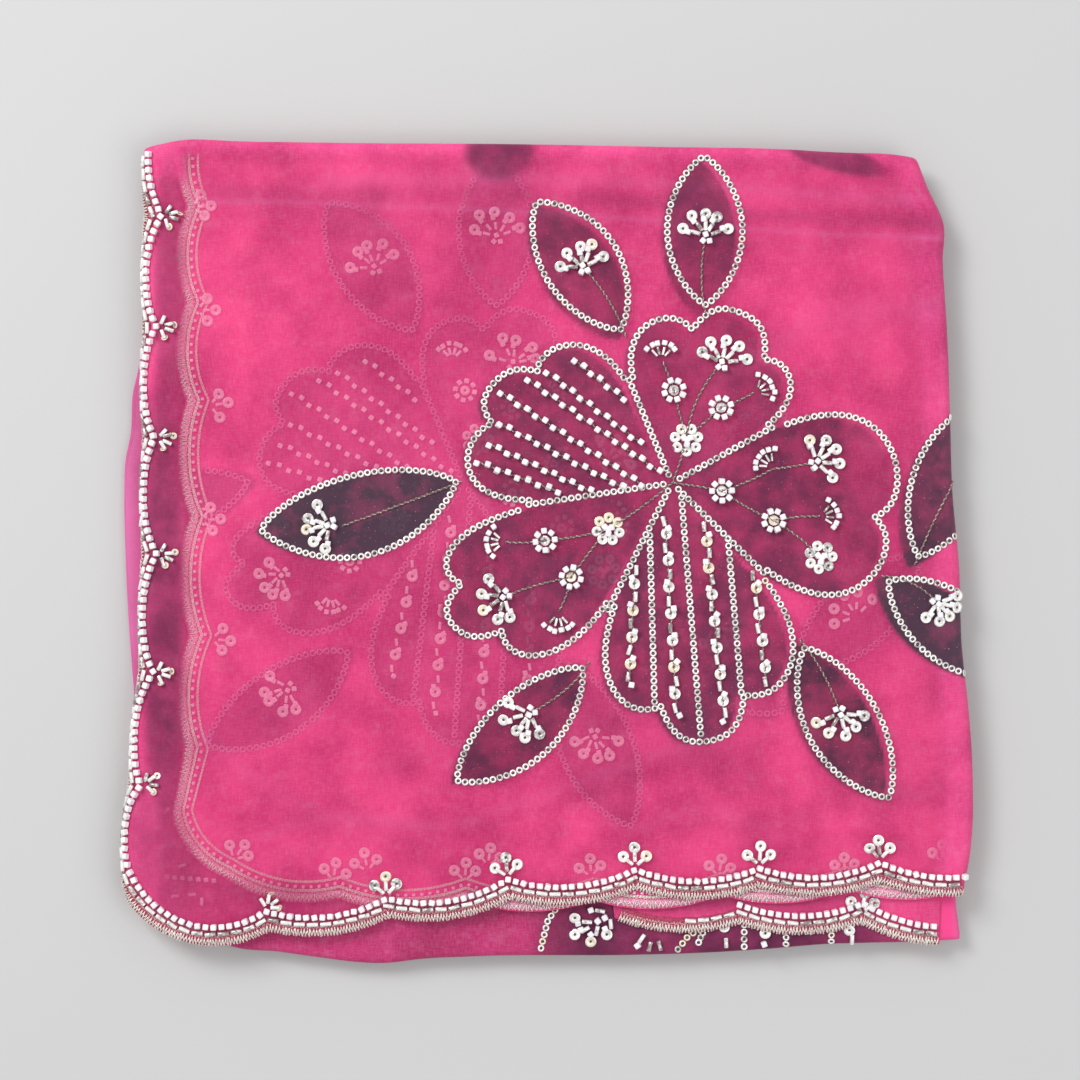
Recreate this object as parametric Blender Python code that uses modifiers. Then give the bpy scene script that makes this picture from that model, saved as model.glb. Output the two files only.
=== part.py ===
# A dupatta stole, folded into a square pack and lying flat, seen from above as it is in the shop.
# +X is to the right of the pack, +Y to its top and +Z up. The pack rests on z = 0.
#
# The cloth is folded in half across its width, then three times along its length. What shows is
# the top layer with a corner of the stole at bottom left, the second layer under it, a third layer
# whose hem shows at bottom right, and a fourth one whose fold shows along the bottom. The layers
# below share one rounded core that is layered at its edges.
#
# Every length in this file is in millimetres, and mesh points become metres when they are written.

import math

import bmesh
import bpy
import numpy as np
from mathutils import Vector
from mathutils.geometry import delaunay_2d_cdt

METRES = 0.001

# Cloth: each wall is thicker than organza, and the next layer lies a small clearance below it.
WALL = 1.2
CLEARANCE = 0.4
LAYER_STEP = WALL + CLEARANCE
CORE_HEIGHT = 7.6
LEVEL = {
    "fourth": CORE_HEIGHT + LAYER_STEP,
    "third": CORE_HEIGHT + 2 * LAYER_STEP,
    "second": CORE_HEIGHT + 3 * LAYER_STEP,
    "top": CORE_HEIGHT + 4 * LAYER_STEP,
}

# The pack is fullest in the middle and lower at its rim.
PACK_HALF_WIDTH = 154.5
PACK_HALF_DEPTH = 149.0
RIM_DROP = 1.5
RIM_POWER = 4
PACK_CENTRE = (-0.305, 0.05)

# Soft creases of the top layer: centre, direction, half length, half width, height.
CREASES = {
    "x": (30, -20, 75, -40, 52, 105, -95),
    "y": (115, 134, 92, -88, -80, -70, 10),
    "angle_deg": (-1.5, 0.5, 3, 62, -42, 74, 84),
    "half_length": (105, 90, 62, 36, 30, 40, 60),
    "half_width": (5.0, 4.5, 6.5, 5.5, 5.0, 6.5, 8.0),
    "height": (0.70, 0.40, 0.45, 0.55, 0.60, 0.50, 0.40),
}
CREASE_ROWS = (-1.9, -0.9, 0.0, 0.9, 1.9)

# Beaded border: the bead row runs from cusp to cusp in outward arcs, and the others are offset from it.
SCALLOP_DEPTH = 4.4
CORNER_DEPTH = 27.0
ARC_STEPS = 7
CORNER_STEPS = 18
BUGLE_OFFSET = 2.7
ZARI_OFFSET = 5.2
CLOTH_EDGE_OFFSET = 6.6
SEAT = 0.3  # clearance of a trim over the cloth that carries it
# Sections of a trim: each corner's share of the width and whether it is at the top (1) or the seat (0).
FLAT_TOPPED = ((-0.5, 0), (-0.34, 1), (0.34, 1), (0.5, 0))
SPLIT_SEAT = (*FLAT_TOPPED, (0.0, 0))  # its underside bends with the rolled hem
PEAKED = ((-0.5, 0), (0.0, 1), (0.5, 0))
BEAD_ROW = {"width": 2.2, "top": 2.2, "section": FLAT_TOPPED}
BUGLE_ROW = {"width": 1.5, "top": 1.7, "section": PEAKED}
ZARI_BAND = {"width": 2.8, "top": 1.4, "section": SPLIT_SEAT}
SEQUIN_LINE = {"width": 2.6, "top": 1.2, "section": PEAKED}

# Cusps of the bead rows, from the top of the left hem round to the right of the bottom hem.
TOP_CUSPS = {
    "x": (-138.5, -138.4, -140.1, -140.6, -140.0, -141.2, -145.6,
          -101.1, -57.4, -13.9, 31.9, 76.5, 119.9, 164.3),
    "y": (163.0, 121.2, 81.3, 41.2, -0.5, -43.0, -83.7,
          -128.9, -124.3, -117.5, -113.9, -113.4, -111.4, -113.6),
}
TOP_CORNER = 6  # the arc that turns the corner, counted from the top of the left hem
SECOND_CUSPS = {
    "x": (-122.0, -122.4, -122.8, -122.6, -121.4, -121.6, -122.8,
          -113.0, -74.5, -29.0, 17.0, 63.0, 108.0, 153.0),
    "y": (158.0, 124.7, 90.3, 54.9, 13.1, -29.7, -71.1,
          -111.5, -118.0, -118.5, -118.5, -116.5, -114.5, -114.0),
}
SECOND_CORNER = 6
SECOND_CORNER_DEPTH = 10.8
THIRD_CUSPS = {
    "x": (-154.0, -109.5, -65.0, -20.0, 24.7, 69.5, 114.3, 157.0),
    "y": (-116.0, -117.0, -118.5, -121.0, -125.0, -126.9, -126.5, -133.5),
}

# Where the folds reach in plan.
TOP_RIGHT_FOLD = {
    "y": (-160, -118, -111.5, -100, -78.5, -57, -35, -3,
          19, 51, 73, 91, 105, 118, 132, 142),
    "x": (150.2, 151.4, 152.7, 153.8, 153.8, 152.4, 150.0, 148.8,
          146.7, 145.6, 144.9, 143.9, 143.0, 143.4, 137.4, 133.6),
}
TOP_TOP_FOLD = {
    "x": (-160, -143, -132, -110, -67, -13, 41, 84, 105, 127, 134, 150),
    "y": (143.5, 146.4, 148.6, 148.2, 147.6, 147.2, 146.2, 145.4, 144.2, 143.2, 142.0, 138.0),
}
TOP_LEFT_DROOP = {
    "y": (-160, -110, -84, -63, -43, 0, 150),
    "x": (-147.8, -147.2, -145.0, -143.2, -141.4, -140.3, -139.9),
}
FOURTH_BOTTOM_FOLD = {
    "x": (-150, -121, -114, -96, -82, -58, -46, -24,
          32, 54, 84, 99, 114, 139, 152),
    "y": (-134.0, -140.4, -142.8, -144.8, -146.8, -148.8, -147.4, -146.3,
          -145.8, -145.2, -143.3, -142.0, -141.5, -140.8, -140.0),
}
FOURTH_RIGHT_FOLD = {
    "y": (-150, -141, -127, -112, -60, 0, 60, 110, 128, 145),
    "x": (150.4, 150.0, 148.4, 148.4, 148.0, 144.4, 141.6, 139.4, 135.0, 128.0),
}
FOURTH_LEFT_EDGE = {
    "y": (-141, -136, -125, -112, -90, -70, 40, 150),
    "x": (-122.0, -124.0, -131.5, -138.0, -140.0, -140.0, -140.0, -140.0),
}
CORE_LEFT = {
    "y": (-150, -134, -120, -100, -78, -69, -53, -43, -22, -3, 22, 33, 43, 59, 64, 80, 120, 150),
    "x": (-118.0, -128.0, -139.0, -148.2, -150.0, -149.8, -150.2, -150.8, -152.2, -153.2, -153.6, -153.0,
          -150.8, -149.6, -148.4, -146.0, -143.0, -139.0),
}

THIRD_LEFT = -126.0
THIRD_RIGHT = 142.0

# How each fold bends: its radius at the outer face, and how far round it goes.
TOP_RIGHT_BEND = {"radius": 3.2, "turn_deg": 108}
TOP_TOP_BEND = {"radius": 1.8, "turn_deg": 115}
TOP_LEFT_BEND = {"radius": 5.8, "turn_deg": 115}
THIRD_TOP_BEND = {"radius": 1.8, "turn_deg": 108}
FOURTH_BEND = {"radius": 1.9, "turn_deg": 98}
HIDDEN_INSET = 0.6  # a hidden edge stops this far short of the bend that covers it

# The core: one row for each fold in its side, from the floor up, with its inset on each side.
CORE_FOLDS = {
    "left": (1.6, 0.0, 10.5),
    "right": (1.2, 0.0, 2.0),
    "bottom": (0.8, 1.6, 0.4),
    "top": (0.0, 1.6, 0.6),
}
CORE_INSET = {"left": 0.0, "right": 2.6, "bottom": 2.8, "top": 2.6}
CORE_GROOVE = 1.5
CORE_CORNER_POWER = 14
CORE_SIDES = 72
CORE_RINGS = (0.92, 0.74, 0.48, 0.2)
FOLD_FRACTIONS = (0.06, 0.26, 0.5, 0.74, 0.94)

# The flower on the top layer: sequin lines along five spokes, round five petals and round seven leaves.
# A petal fills the sector between two spokes. Its reach falls off to both sides and leans to one, its
# middle lobe rises, and notches part its lobes. A notch stands at a share of the half sector.
FLOWER = (45.1, 25.0)
SPOKES = {
    "name": ("right", "upper", "left", "lower_left", "lower_right"),
    "angle_deg": (29.0, 112.6, 188.6, 243.2, 315.5),
    "length": (41.0, 40.0, 52.0, 51.0, 46.0),
}
SPOKE_FROM = 4.0
PETALS = {
    "name": ("upper", "dotted", "left", "striped", "right"),
    "from_deg": (29.0, 112.6, 188.6, 243.2, 315.5),
    "to_deg": (112.6, 188.6, 243.2, 315.5, 389.0),
    "reach": (61.0, 71.0, 89.0, 87.0, 82.0),
    "middle_rise": (0.09, 0.05, 0.06, 0.09, 0.0),
    "fall_power": (4.0, 4.0, 3.0, 3.0, 3.0),
    "fall_root": (0.25, 0.25, 0.30, 0.30, 0.30),
    "lean": (0.0, 0.14, -0.09, -0.01, 0.0),
    "notch_1": (-0.42, -0.27, -0.38, -0.34, -0.05),
    "notch_2": (0.28, 0.29, 0.19, 0.26, -0.05),
}
NOTCH_DEPTH = 0.10
NOTCH_WIDTH = 0.11
MIDDLE_SPREAD = 0.30
SPOKE_CLEARANCE = 3.1
LEAVES = {
    "name": ("top", "upper_left", "left", "lower_left", "lower_right", "right", "upper_right"),
    "base_x": (57.1, 28.6, -29.3, 15.4, 91.0, 120.4, 132.4),
    "base_y": (85.6, 77.4, 26.1, -39.3, -31.4, -8.4, -4.4),
    "tip_x": (56.7, -3.4, -102.4, -31.9, 122.9, 168.0, 158.0),
    "tip_y": (142.4, 125.8, 8.1, -81.9, -88.0, -44.0, 55.0),
    "width": (27.0, 27.0, 29.0, 24.0, 26.0, 25.0, 27.0),
    "bow": (0.0, -1.2, 0.4, 1.6, -1.3, 0.0, 0.0),
}
LEAF_GAP = 3.4
LINE_SPACING = 6.2

# Sprigs of beads: where each one stands on the top layer, its heading and its size.
SPRIGS = {
    "x": (57.4, 13.6, -78.6, -5.6, 106.0, 64.4, -17.4, 101.0),
    "y": (113.4, 104.0, 10.4, -56.4, -61.4, 73.0, -15.6, 34.6),
    "heading_deg": (88, 100, 190, 232, 285, 62, 215, 10),
    "size": (7.0, 7.0, 7.0, 7.0, 7.0, 7.4, 7.4, 7.4),
}
SPRIG_TOP = 1.8
FLEUR_SIZE = 4.6
FLEUR_TOP = 1.6

# How finely the cloth is divided.
TOP_SPACING = 18.5
HIDDEN_SPACING = 23.0
EDGE_MARGIN = 4.5
EDGE_SPACING = 12.0
CLOTH_SAG = 0.12  # how far a facet may cut inside a bend
TRIM_SAG = 0.06
INWARDS = {"right": (-1, 0), "left": (1, 0), "top": (0, -1), "bottom": (0, 1)}

PINK = (0.80, 0.05, 0.20)
DEEP_PINK = (0.62, 0.03, 0.17)
SILVER = (0.80, 0.77, 0.72)
BEAD_WHITE = (0.88, 0.87, 0.86)


def smooth_lookup(table, key, value, at):
    """The table's value at a position, joined by cubic curves whose slopes come from its neighbours."""
    known, values = np.array(table[key], float), np.array(table[value], float)
    slopes = np.gradient(values, known)
    at = np.clip(np.asarray(at, float), known[0], known[-1])
    k = np.clip(np.searchsorted(known, at, side="right") - 1, 0, len(known) - 2)
    span = known[k + 1] - known[k]
    f = (at - known[k]) / span
    start = values[k] * (1 + 2 * f) * (1 - f) ** 2 + slopes[k] * span * f * (1 - f) ** 2
    end = values[k + 1] * f**2 * (3 - 2 * f) + slopes[k + 1] * span * f**2 * (f - 1)
    return start + end


def swell(x, y):
    """Height that the pack's fullness adds to a layer: none in the middle, less at the rim."""
    across = np.clip(np.abs(x) / PACK_HALF_WIDTH, 0, 1) ** RIM_POWER
    along = np.clip(np.abs(y) / PACK_HALF_DEPTH, 0, 1) ** RIM_POWER
    return RIM_DROP * ((1 - across) * (1 - along) - 1)


def crease_lift(x, y):
    """Height of the soft creases: a bell across each one, which fades to nothing at its ends."""
    height = np.zeros_like(x)
    for k in range(len(CREASES["x"])):
        angle = math.radians(CREASES["angle_deg"][k])
        dx, dy = x - CREASES["x"][k], y - CREASES["y"][k]
        on = (dx * math.cos(angle) + dy * math.sin(angle)) / CREASES["half_length"][k]
        off = (dy * math.cos(angle) - dx * math.sin(angle)) / CREASES["half_width"][k]
        height = height + CREASES["height"][k] * np.exp(-0.5 * off**2) * np.clip(1 - on**2, 0, 1)
    return height


def bend_over(along, start, radius):
    """Cloth past start goes round a bend of that radius: its new position, and how far it has come down."""
    angle = np.maximum(along - start, 0) / radius
    return np.minimum(along, start) + radius * np.sin(angle), radius * (1 - np.cos(angle))


def bend_starts(layer, s, t):
    """Where the cloth starts to bend down on each side of this layer, at flat points s, t."""
    starts = {}
    for side, (table, bend) in layer["bends"].items():
        key, value, at = ("y", "x", t) if side in ("left", "right") else ("x", "y", s)
        reach = smooth_lookup(table, key, value, at)
        if side == "left":
            starts[side] = -reach
        elif side == "bottom":
            starts[side] = -reach - bend["radius"]
        else:
            starts[side] = reach - bend["radius"]
    return starts


def place(layer, flat, lift=0.0):
    """Points of the flat cloth as they lie in the pack, moved out from its face by lift."""
    flat = np.asarray(flat, float)
    s, t, tiny = flat[:, 0], flat[:, 1], 0.05
    along_s = place_face(layer, s + tiny, t) - place_face(layer, s - tiny, t)
    along_t = place_face(layer, s, t + tiny) - place_face(layer, s, t - tiny)
    normal = np.cross(along_s, along_t)
    normal /= np.linalg.norm(normal, axis=1)[:, None]
    return place_face(layer, s, t) + normal * lift


def place_face(layer, s, t):
    starts = bend_starts(layer, s, t)
    x, y, z = s, t, 0.0
    if "right" in starts:
        x, drop = bend_over(x, starts["right"], layer["bends"]["right"][1]["radius"])
        z = z - drop
    if "left" in starts:
        x, drop = bend_over(-x, starts["left"], layer["bends"]["left"][1]["radius"])
        x, z = -x, z - drop
    if "top" in starts:
        y, drop = bend_over(y, starts["top"], layer["bends"]["top"][1]["radius"])
        z = z - drop
    if "bottom" in starts:
        y, drop = bend_over(-y, starts["bottom"], layer["bends"]["bottom"][1]["radius"])
        y, z = -y, z - drop
    lift = crease_lift(x, y) if layer["creased"] else 0.0
    return np.stack([x, y, layer["level"] + swell(x, y) + lift + z], axis=1)


def turn_length(bend):
    """How much cloth goes round a bend."""
    return bend["radius"] * math.radians(bend["turn_deg"])


def flat_limit(layer, side, at):
    """How far the flat cloth reaches on a side that bends, at a position along that side."""
    reach = bend_starts(layer, at, at)[side] + turn_length(layer["bends"][side][1])
    return reach if side in ("right", "top") else -reach


def arc_between(start, end, depth, offset, steps):
    """An arc from one cusp to the next that bulges outwards by depth, moved out by offset."""
    start, end = np.array(start, float), np.array(end, float)
    chord = end - start
    half = np.linalg.norm(chord) / 2
    out = np.array([chord[1], -chord[0]]) / (2 * half)
    radius = (half**2 + depth**2) / (2 * depth)
    centre = (start + end) / 2 - out * (radius - depth)
    reach = math.atan2(half, radius - depth)
    angles = np.linspace(-reach, reach, steps + 1)
    along = chord / (2 * half)
    return centre + (radius + offset) * (np.outer(np.sin(angles), along) + np.outer(np.cos(angles), out))


def crossing(first, second):
    """Where the end of one line of points crosses the start of the next one."""
    for i in range(len(first) - 2, -1, -1):
        for j in range(len(second) - 1):
            r, s, gap = first[i + 1] - first[i], second[j + 1] - second[j], second[j] - first[i]
            turn = r[0] * s[1] - r[1] * s[0]
            if abs(turn) < 1e-9:
                continue
            a = (gap[0] * s[1] - gap[1] * s[0]) / turn
            b = (gap[0] * r[1] - gap[1] * r[0]) / turn
            if -1e-6 <= a <= 1 + 1e-6 and -1e-6 <= b <= 1 + 1e-6:
                return i, j, first[i] + a * r
    raise ValueError("two arcs of the border don't meet")


def scallops(cusps, offset, corner=None, corner_depth=CORNER_DEPTH):
    """The whole line of scallops through these cusps, moved out from the bead row by offset."""
    points = list(zip(cusps["x"], cusps["y"]))
    line = None
    for k in range(len(points) - 1):
        depth, steps = (corner_depth, CORNER_STEPS) if k == corner else (SCALLOP_DEPTH, ARC_STEPS)
        arc = arc_between(points[k], points[k + 1], depth, offset, steps)
        if line is None:
            line = arc
            continue
        i, j, meet = crossing(line, arc)
        line = np.concatenate([line[: i + 1], [meet], arc[j + 1 :]])
    keep = np.concatenate([[True], np.linalg.norm(np.diff(line, axis=0), axis=1) > 0.4])
    return line[keep]


def clipped(line, inside):
    """The part of a line whose points pass the test, cut exactly where it enters and leaves."""
    passes = [bool(inside(p)) for p in line]
    kept = []
    for k, point in enumerate(line):
        if k and passes[k] != passes[k - 1]:
            low, high = (line[k - 1], point) if passes[k - 1] else (point, line[k - 1])
            for _ in range(24):
                middle = (low + high) / 2
                low, high = (middle, high) if inside(middle) else (low, middle)
            kept.append(low)
        if passes[k]:
            kept.append(point)
    return np.array(kept)


def spread_along(start, stop, spacing):
    """Positions from start to stop, about spacing apart, without the two ends."""
    count = max(2, round(abs(stop - start) / spacing) + 1)
    return np.linspace(start, stop, count)[1:-1]


def layer_top():
    bends = {
        "right": (TOP_RIGHT_FOLD, TOP_RIGHT_BEND),
        "top": (TOP_TOP_FOLD, TOP_TOP_BEND),
        "left": (TOP_LEFT_DROOP, TOP_LEFT_BEND),
    }
    return {"level": LEVEL["top"], "bends": bends, "creased": True}


def layer_plain(name):
    return {"level": LEVEL[name], "bends": {}, "creased": False}


def layer_third():
    return {"level": LEVEL["third"], "bends": {"top": (TOP_TOP_FOLD, THIRD_TOP_BEND)}, "creased": False}


def layer_fourth():
    bends = {"bottom": (FOURTH_BOTTOM_FOLD, FOURTH_BEND), "right": (FOURTH_RIGHT_FOLD, FOURTH_BEND)}
    return {"level": LEVEL["fourth"], "bends": bends, "creased": False}


def on_top_layer(layer):
    """The test that keeps a flat point of the top layer short of the ends of its folds."""
    return lambda p: p[0] <= flat_limit(layer, "right", p[1]) and p[1] <= flat_limit(layer, "top", p[0])


def top_outline(layer):
    """Flat outline of the top layer: its two scalloped hems, then past the right and top folds."""
    inside = on_top_layer(layer)
    hem = clipped(scallops(TOP_CUSPS, CLOTH_EDGE_OFFSET, TOP_CORNER), inside)
    corner_s, corner_t = 131.0, 136.0
    right = [(flat_limit(layer, "right", t), t) for t in spread_along(hem[-1][1], corner_t, EDGE_SPACING)]
    turn_s, turn_t = turn_length(TOP_RIGHT_BEND), turn_length(TOP_TOP_BEND)
    end_s, end_t = flat_limit(layer, "right", corner_t), flat_limit(layer, "top", corner_s)
    corner = []
    for k in range(4):
        angle = math.radians(90) * (k + 0.5) / 4
        s = end_s - turn_s * (1 - math.cos(angle))
        corner.append((s, end_t - turn_t * (1 - math.sin(angle))))
    top = [(s, flat_limit(layer, "top", s)) for s in spread_along(corner_s, hem[0][0], EDGE_SPACING)]
    return np.array([*hem, *right, *corner, *top])


def hidden_right(t, depth):
    """Where a layer that lies inside the top layer's right fold has to stop."""
    return smooth_lookup(TOP_RIGHT_FOLD, "y", "x", t) - TOP_RIGHT_BEND["radius"] - HIDDEN_INSET - depth


def hidden_top(s, depth):
    return smooth_lookup(TOP_TOP_FOLD, "x", "y", s) - TOP_TOP_BEND["radius"] - HIDDEN_INSET - depth


def second_outline():
    """The second layer: hems at the left and the bottom, and hidden edges inside the folds over it."""

    def inside(p):
        return p[0] <= hidden_right(p[1], 0) and p[1] <= hidden_top(p[0], 0)

    line = scallops(SECOND_CUSPS, CLOTH_EDGE_OFFSET, SECOND_CORNER, SECOND_CORNER_DEPTH)
    hem = clipped(line, inside)
    corner_s, corner_t = 122.0, 122.0
    right = [(hidden_right(t, 0), t) for t in spread_along(hem[-1][1], corner_t, EDGE_SPACING)]
    top = [(s, hidden_top(s, 0)) for s in spread_along(corner_s, hem[0][0], EDGE_SPACING)]
    return np.array([*hem, *right, (corner_s + 6, corner_t + 9), *top])


def third_outline(layer):
    """The third layer: its hem shows at bottom right, its right edge is a flat fold, its top bends over."""

    def right_at(t):
        return min(THIRD_RIGHT, float(hidden_right(t, 1.0)))

    def top_at(s):
        return float(flat_limit(layer, "top", s)) - HIDDEN_INSET

    hem = scallops(THIRD_CUSPS, CLOTH_EDGE_OFFSET)
    hem = clipped(hem, lambda p: THIRD_LEFT <= p[0] <= THIRD_RIGHT)
    corner_s, corner_t = 124.0, 132.0
    right = [(right_at(t), t) for t in spread_along(hem[-1][1], corner_t, EDGE_SPACING)]
    right.append((corner_s + 2, top_at(corner_s) - 3))
    top = [(s, top_at(s)) for s in spread_along(corner_s, THIRD_LEFT, EDGE_SPACING)]
    top.append((THIRD_LEFT, top_at(THIRD_LEFT)))
    left = [(THIRD_LEFT, t) for t in spread_along(top[-1][1], hem[0][1], EDGE_SPACING)]
    return np.array([*hem, *right, *top, *left])


def fourth_outline(layer):
    """The fourth layer: folds along the bottom and the right, and hidden edges at the left and the top."""

    def left_at(t):
        return float(smooth_lookup(FOURTH_LEFT_EDGE, "y", "x", t))

    def top_at(s):
        return float(hidden_top(s, THIRD_TOP_BEND["radius"]))

    def low(s):
        return float(flat_limit(layer, "bottom", s))

    corner_s, corner_t = 146.0, -137.0
    bottom = [(s, low(s)) for s in spread_along(-122.0, corner_s, EDGE_SPACING)]
    turn = turn_length(FOURTH_BEND)
    start_s, start_t = float(flat_limit(layer, "right", corner_t)) - turn, low(corner_s) + turn
    corner = []
    for k in range(4):
        angle = math.radians(90) * (k + 0.5) / 4
        corner.append((start_s + turn * math.sin(angle), start_t - turn * math.cos(angle)))
    top_s, top_t = 118.0, 128.0
    right = [(float(flat_limit(layer, "right", t)), t) for t in spread_along(corner_t, top_t, EDGE_SPACING)]
    top = [(s, top_at(s)) for s in spread_along(top_s, -141.0, EDGE_SPACING)]
    left = [(left_at(t), t) for t in spread_along(top_at(-141.0), -141.0, EDGE_SPACING)]
    return np.array([*bottom, *corner, *right, (top_s + 4, top_at(top_s) - 4), *top, *left])


def inside_polygon(points, polygon, margin):
    """Which points lie inside the polygon, at least margin from its sides."""
    x, y = points[:, 0], points[:, 1]
    inside = np.zeros(len(points), bool)
    distance = np.full(len(points), np.inf)
    for a, b in zip(polygon, np.roll(polygon, -1, axis=0)):
        crosses = (a[1] > y) != (b[1] > y)
        at = a[0] + (y - a[1]) * (b[0] - a[0]) / (b[1] - a[1] if a[1] != b[1] else 1.0)
        inside ^= crosses & (x < at)
        side = b - a
        f = np.clip(((points - a) @ side) / (side @ side), 0, 1)
        distance = np.minimum(distance, np.linalg.norm(points - a - f[:, None] * side, axis=1))
    return inside & (distance >= margin)


def crease_points():
    """Rows of points along each crease, close enough together to keep it round."""
    points = []
    for k in range(len(CREASES["x"])):
        angle = math.radians(CREASES["angle_deg"][k])
        along = np.array([math.cos(angle), math.sin(angle)])
        across = np.array([-along[1], along[0]])
        centre = np.array([CREASES["x"][k], CREASES["y"][k]])
        reach = CREASES["half_length"][k]
        for row in CREASE_ROWS:
            for on in np.linspace(-reach, reach, max(3, round(2 * reach / TOP_SPACING) + 1)):
                points.append(centre + on * along + row * CREASES["half_width"][k] * across)
    return np.array(points)



def over_bends(layer, points):
    """How far each flat point lies past the start of each bend, as (side, distance, radius)."""
    over = []
    for side, start in bend_starts(layer, points[:, 0], points[:, 1]).items():
        out = points[:, 0] if side in ("left", "right") else points[:, 1]
        out = out if side in ("right", "top") else -out
        over.append((side, out - start, layer["bends"][side][1]["radius"]))
    return over


def facet_turn(radius, sag):
    """The angle of a facet that cuts inside a bend by the sag."""
    return 2 * math.acos(1 - sag / radius)


def finer_at_bends(layer, line, sag, closed=False):
    """The line with points added wherever it goes round a bend of its layer."""
    line = np.asarray(line, float)
    ends = np.roll(line, -1, axis=0) if closed else line[1:]
    fine = []
    for a, b in zip(line, ends):
        fine.append(a)
        trial = a + np.linspace(0, 1, 81)[:, None] * (b - a)
        turned = np.zeros(81)
        for _, out, radius in over_bends(layer, trial):
            steps = np.abs(np.diff(np.maximum(out, 0))) / radius / facet_turn(radius, sag)
            turned += np.concatenate([[0], np.cumsum(steps)])
        count = math.ceil(turned[-1])
        if count < 2:
            continue
        for k in range(count):
            i = int(np.searchsorted(turned, turned[-1] * k / count, side="right")) - 1
            if 4 < i < 76:
                fine.append(trial[i])
    if not closed:
        fine.append(line[-1])
    fine = np.array(fine)
    apart = np.linalg.norm(np.diff(fine, axis=0), axis=1) > 0.3
    return fine[np.concatenate([[True], apart])]


def bend_points(layer, outline):
    """Points between each bend's start and the outline past it, so that the bend stays round."""
    over = over_bends(layer, outline)
    points = []
    for side, out, radius in over:
        for k in np.flatnonzero(out > 0.25 * radius):
            if sum(other[k] > 0 for _, other, _ in over) > 1:
                continue
            count = math.ceil(out[k] / radius / facet_turn(radius, CLOTH_SAG))
            for row in range(count):
                points.append(outline[k] + out[k] * (1 - row / count) * np.array(INWARDS[side]))
    return np.array(points)


def short_of_bends(layer, points):
    """Which flat points lie before every bend of the layer, with a margin."""
    short = np.ones(len(points), bool)
    for _, out, _ in over_bends(layer, points):
        short &= out < -EDGE_MARGIN
    return short


def interior_points(layer, outline, spacing):
    """Points inside the outline: at the bends, at the creases and on a staggered grid between them."""
    low, high = outline.min(0), outline.max(0)
    groups = []
    if layer["bends"]:
        groups.append((bend_points(layer, outline), 0.5, 0.7))
    if layer["creased"]:
        groups.append((crease_points(), EDGE_MARGIN, 3.6))
    grid = []
    for k, t in enumerate(np.arange(low[1], high[1], spacing * 0.87)):
        shift = spacing / 2 * (k % 2)
        grid += [(s + shift, t) for s in np.arange(low[0], high[0], spacing)]
    groups.append((np.array(grid), EDGE_MARGIN, 6.5))
    kept = np.empty((0, 2))
    for points, margin, room in groups:
        keep = inside_polygon(points, outline, margin)
        if room > 1:
            keep &= short_of_bends(layer, points)
        for p in points[keep]:
            if not len(kept) or np.linalg.norm(kept - p, axis=1).min() > room:
                kept = np.concatenate([kept, [p]])
    return kept


def cloth_wall(name, layer, outline, spacing, colour):
    """One layer: a triangulated open surface in its place, with a Solidify that thickens it downwards."""
    outline = finer_at_bends(layer, outline, CLOTH_SAG, closed=True)
    inner = interior_points(layer, outline, spacing)
    corners = [Vector(p) for p in np.concatenate([outline, inner])]
    points, _, faces, *_ = delaunay_2d_cdt(corners, [], [list(range(len(outline)))], 1, 1e-5)
    flat = np.array([tuple(p) for p in points])
    obj = mesh_object(name, place(layer, flat), [list(f) for f in faces], cloth_material(name, colour))
    wall = obj.modifiers.new("wall", "SOLIDIFY")
    wall.thickness = WALL * METRES
    wall.offset = -1
    wall.use_even_offset = False
    return obj


def ridge(name, layer, line, shape, material, closed=False):
    """A raised trim along a flat line, with its corners at each station seated just off the cloth."""
    line = finer_at_bends(layer, line, TRIM_SAG, closed)
    before, after = np.roll(line, 1, axis=0), np.roll(line, -1, axis=0)
    if not closed:
        before[0], after[-1] = 2 * line[0] - line[1], 2 * line[-1] - line[-2]
    arrive, leave = line - before, after - line
    arrive /= np.linalg.norm(arrive, axis=1)[:, None]
    leave /= np.linalg.norm(leave, axis=1)[:, None]
    heading = arrive + leave
    heading /= np.linalg.norm(heading, axis=1)[:, None]
    across = np.stack([heading[:, 1], -heading[:, 0]], axis=1)
    across /= np.clip((heading * leave).sum(1), 0.75, 1)[:, None]
    corners = []
    for share, raised in shape["section"]:
        lift = shape["top"] if raised else SEAT
        corners.append(place(layer, line + across * share * shape["width"], lift))
    count, sides = len(line), len(corners)
    points = np.stack(corners, axis=1).reshape(-1, 3)
    faces = []
    for k in range(count if closed else count - 1):
        here, then = k * sides, ((k + 1) % count) * sides
        for c in range(sides):
            faces.append([here + c, here + (c + 1) % sides, then + (c + 1) % sides, then + c])
    if not closed:
        faces.append(list(range(sides))[::-1])
        faces.append([(count - 1) * sides + c for c in range(sides)])
    return mesh_object(name, points, faces, material)


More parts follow.
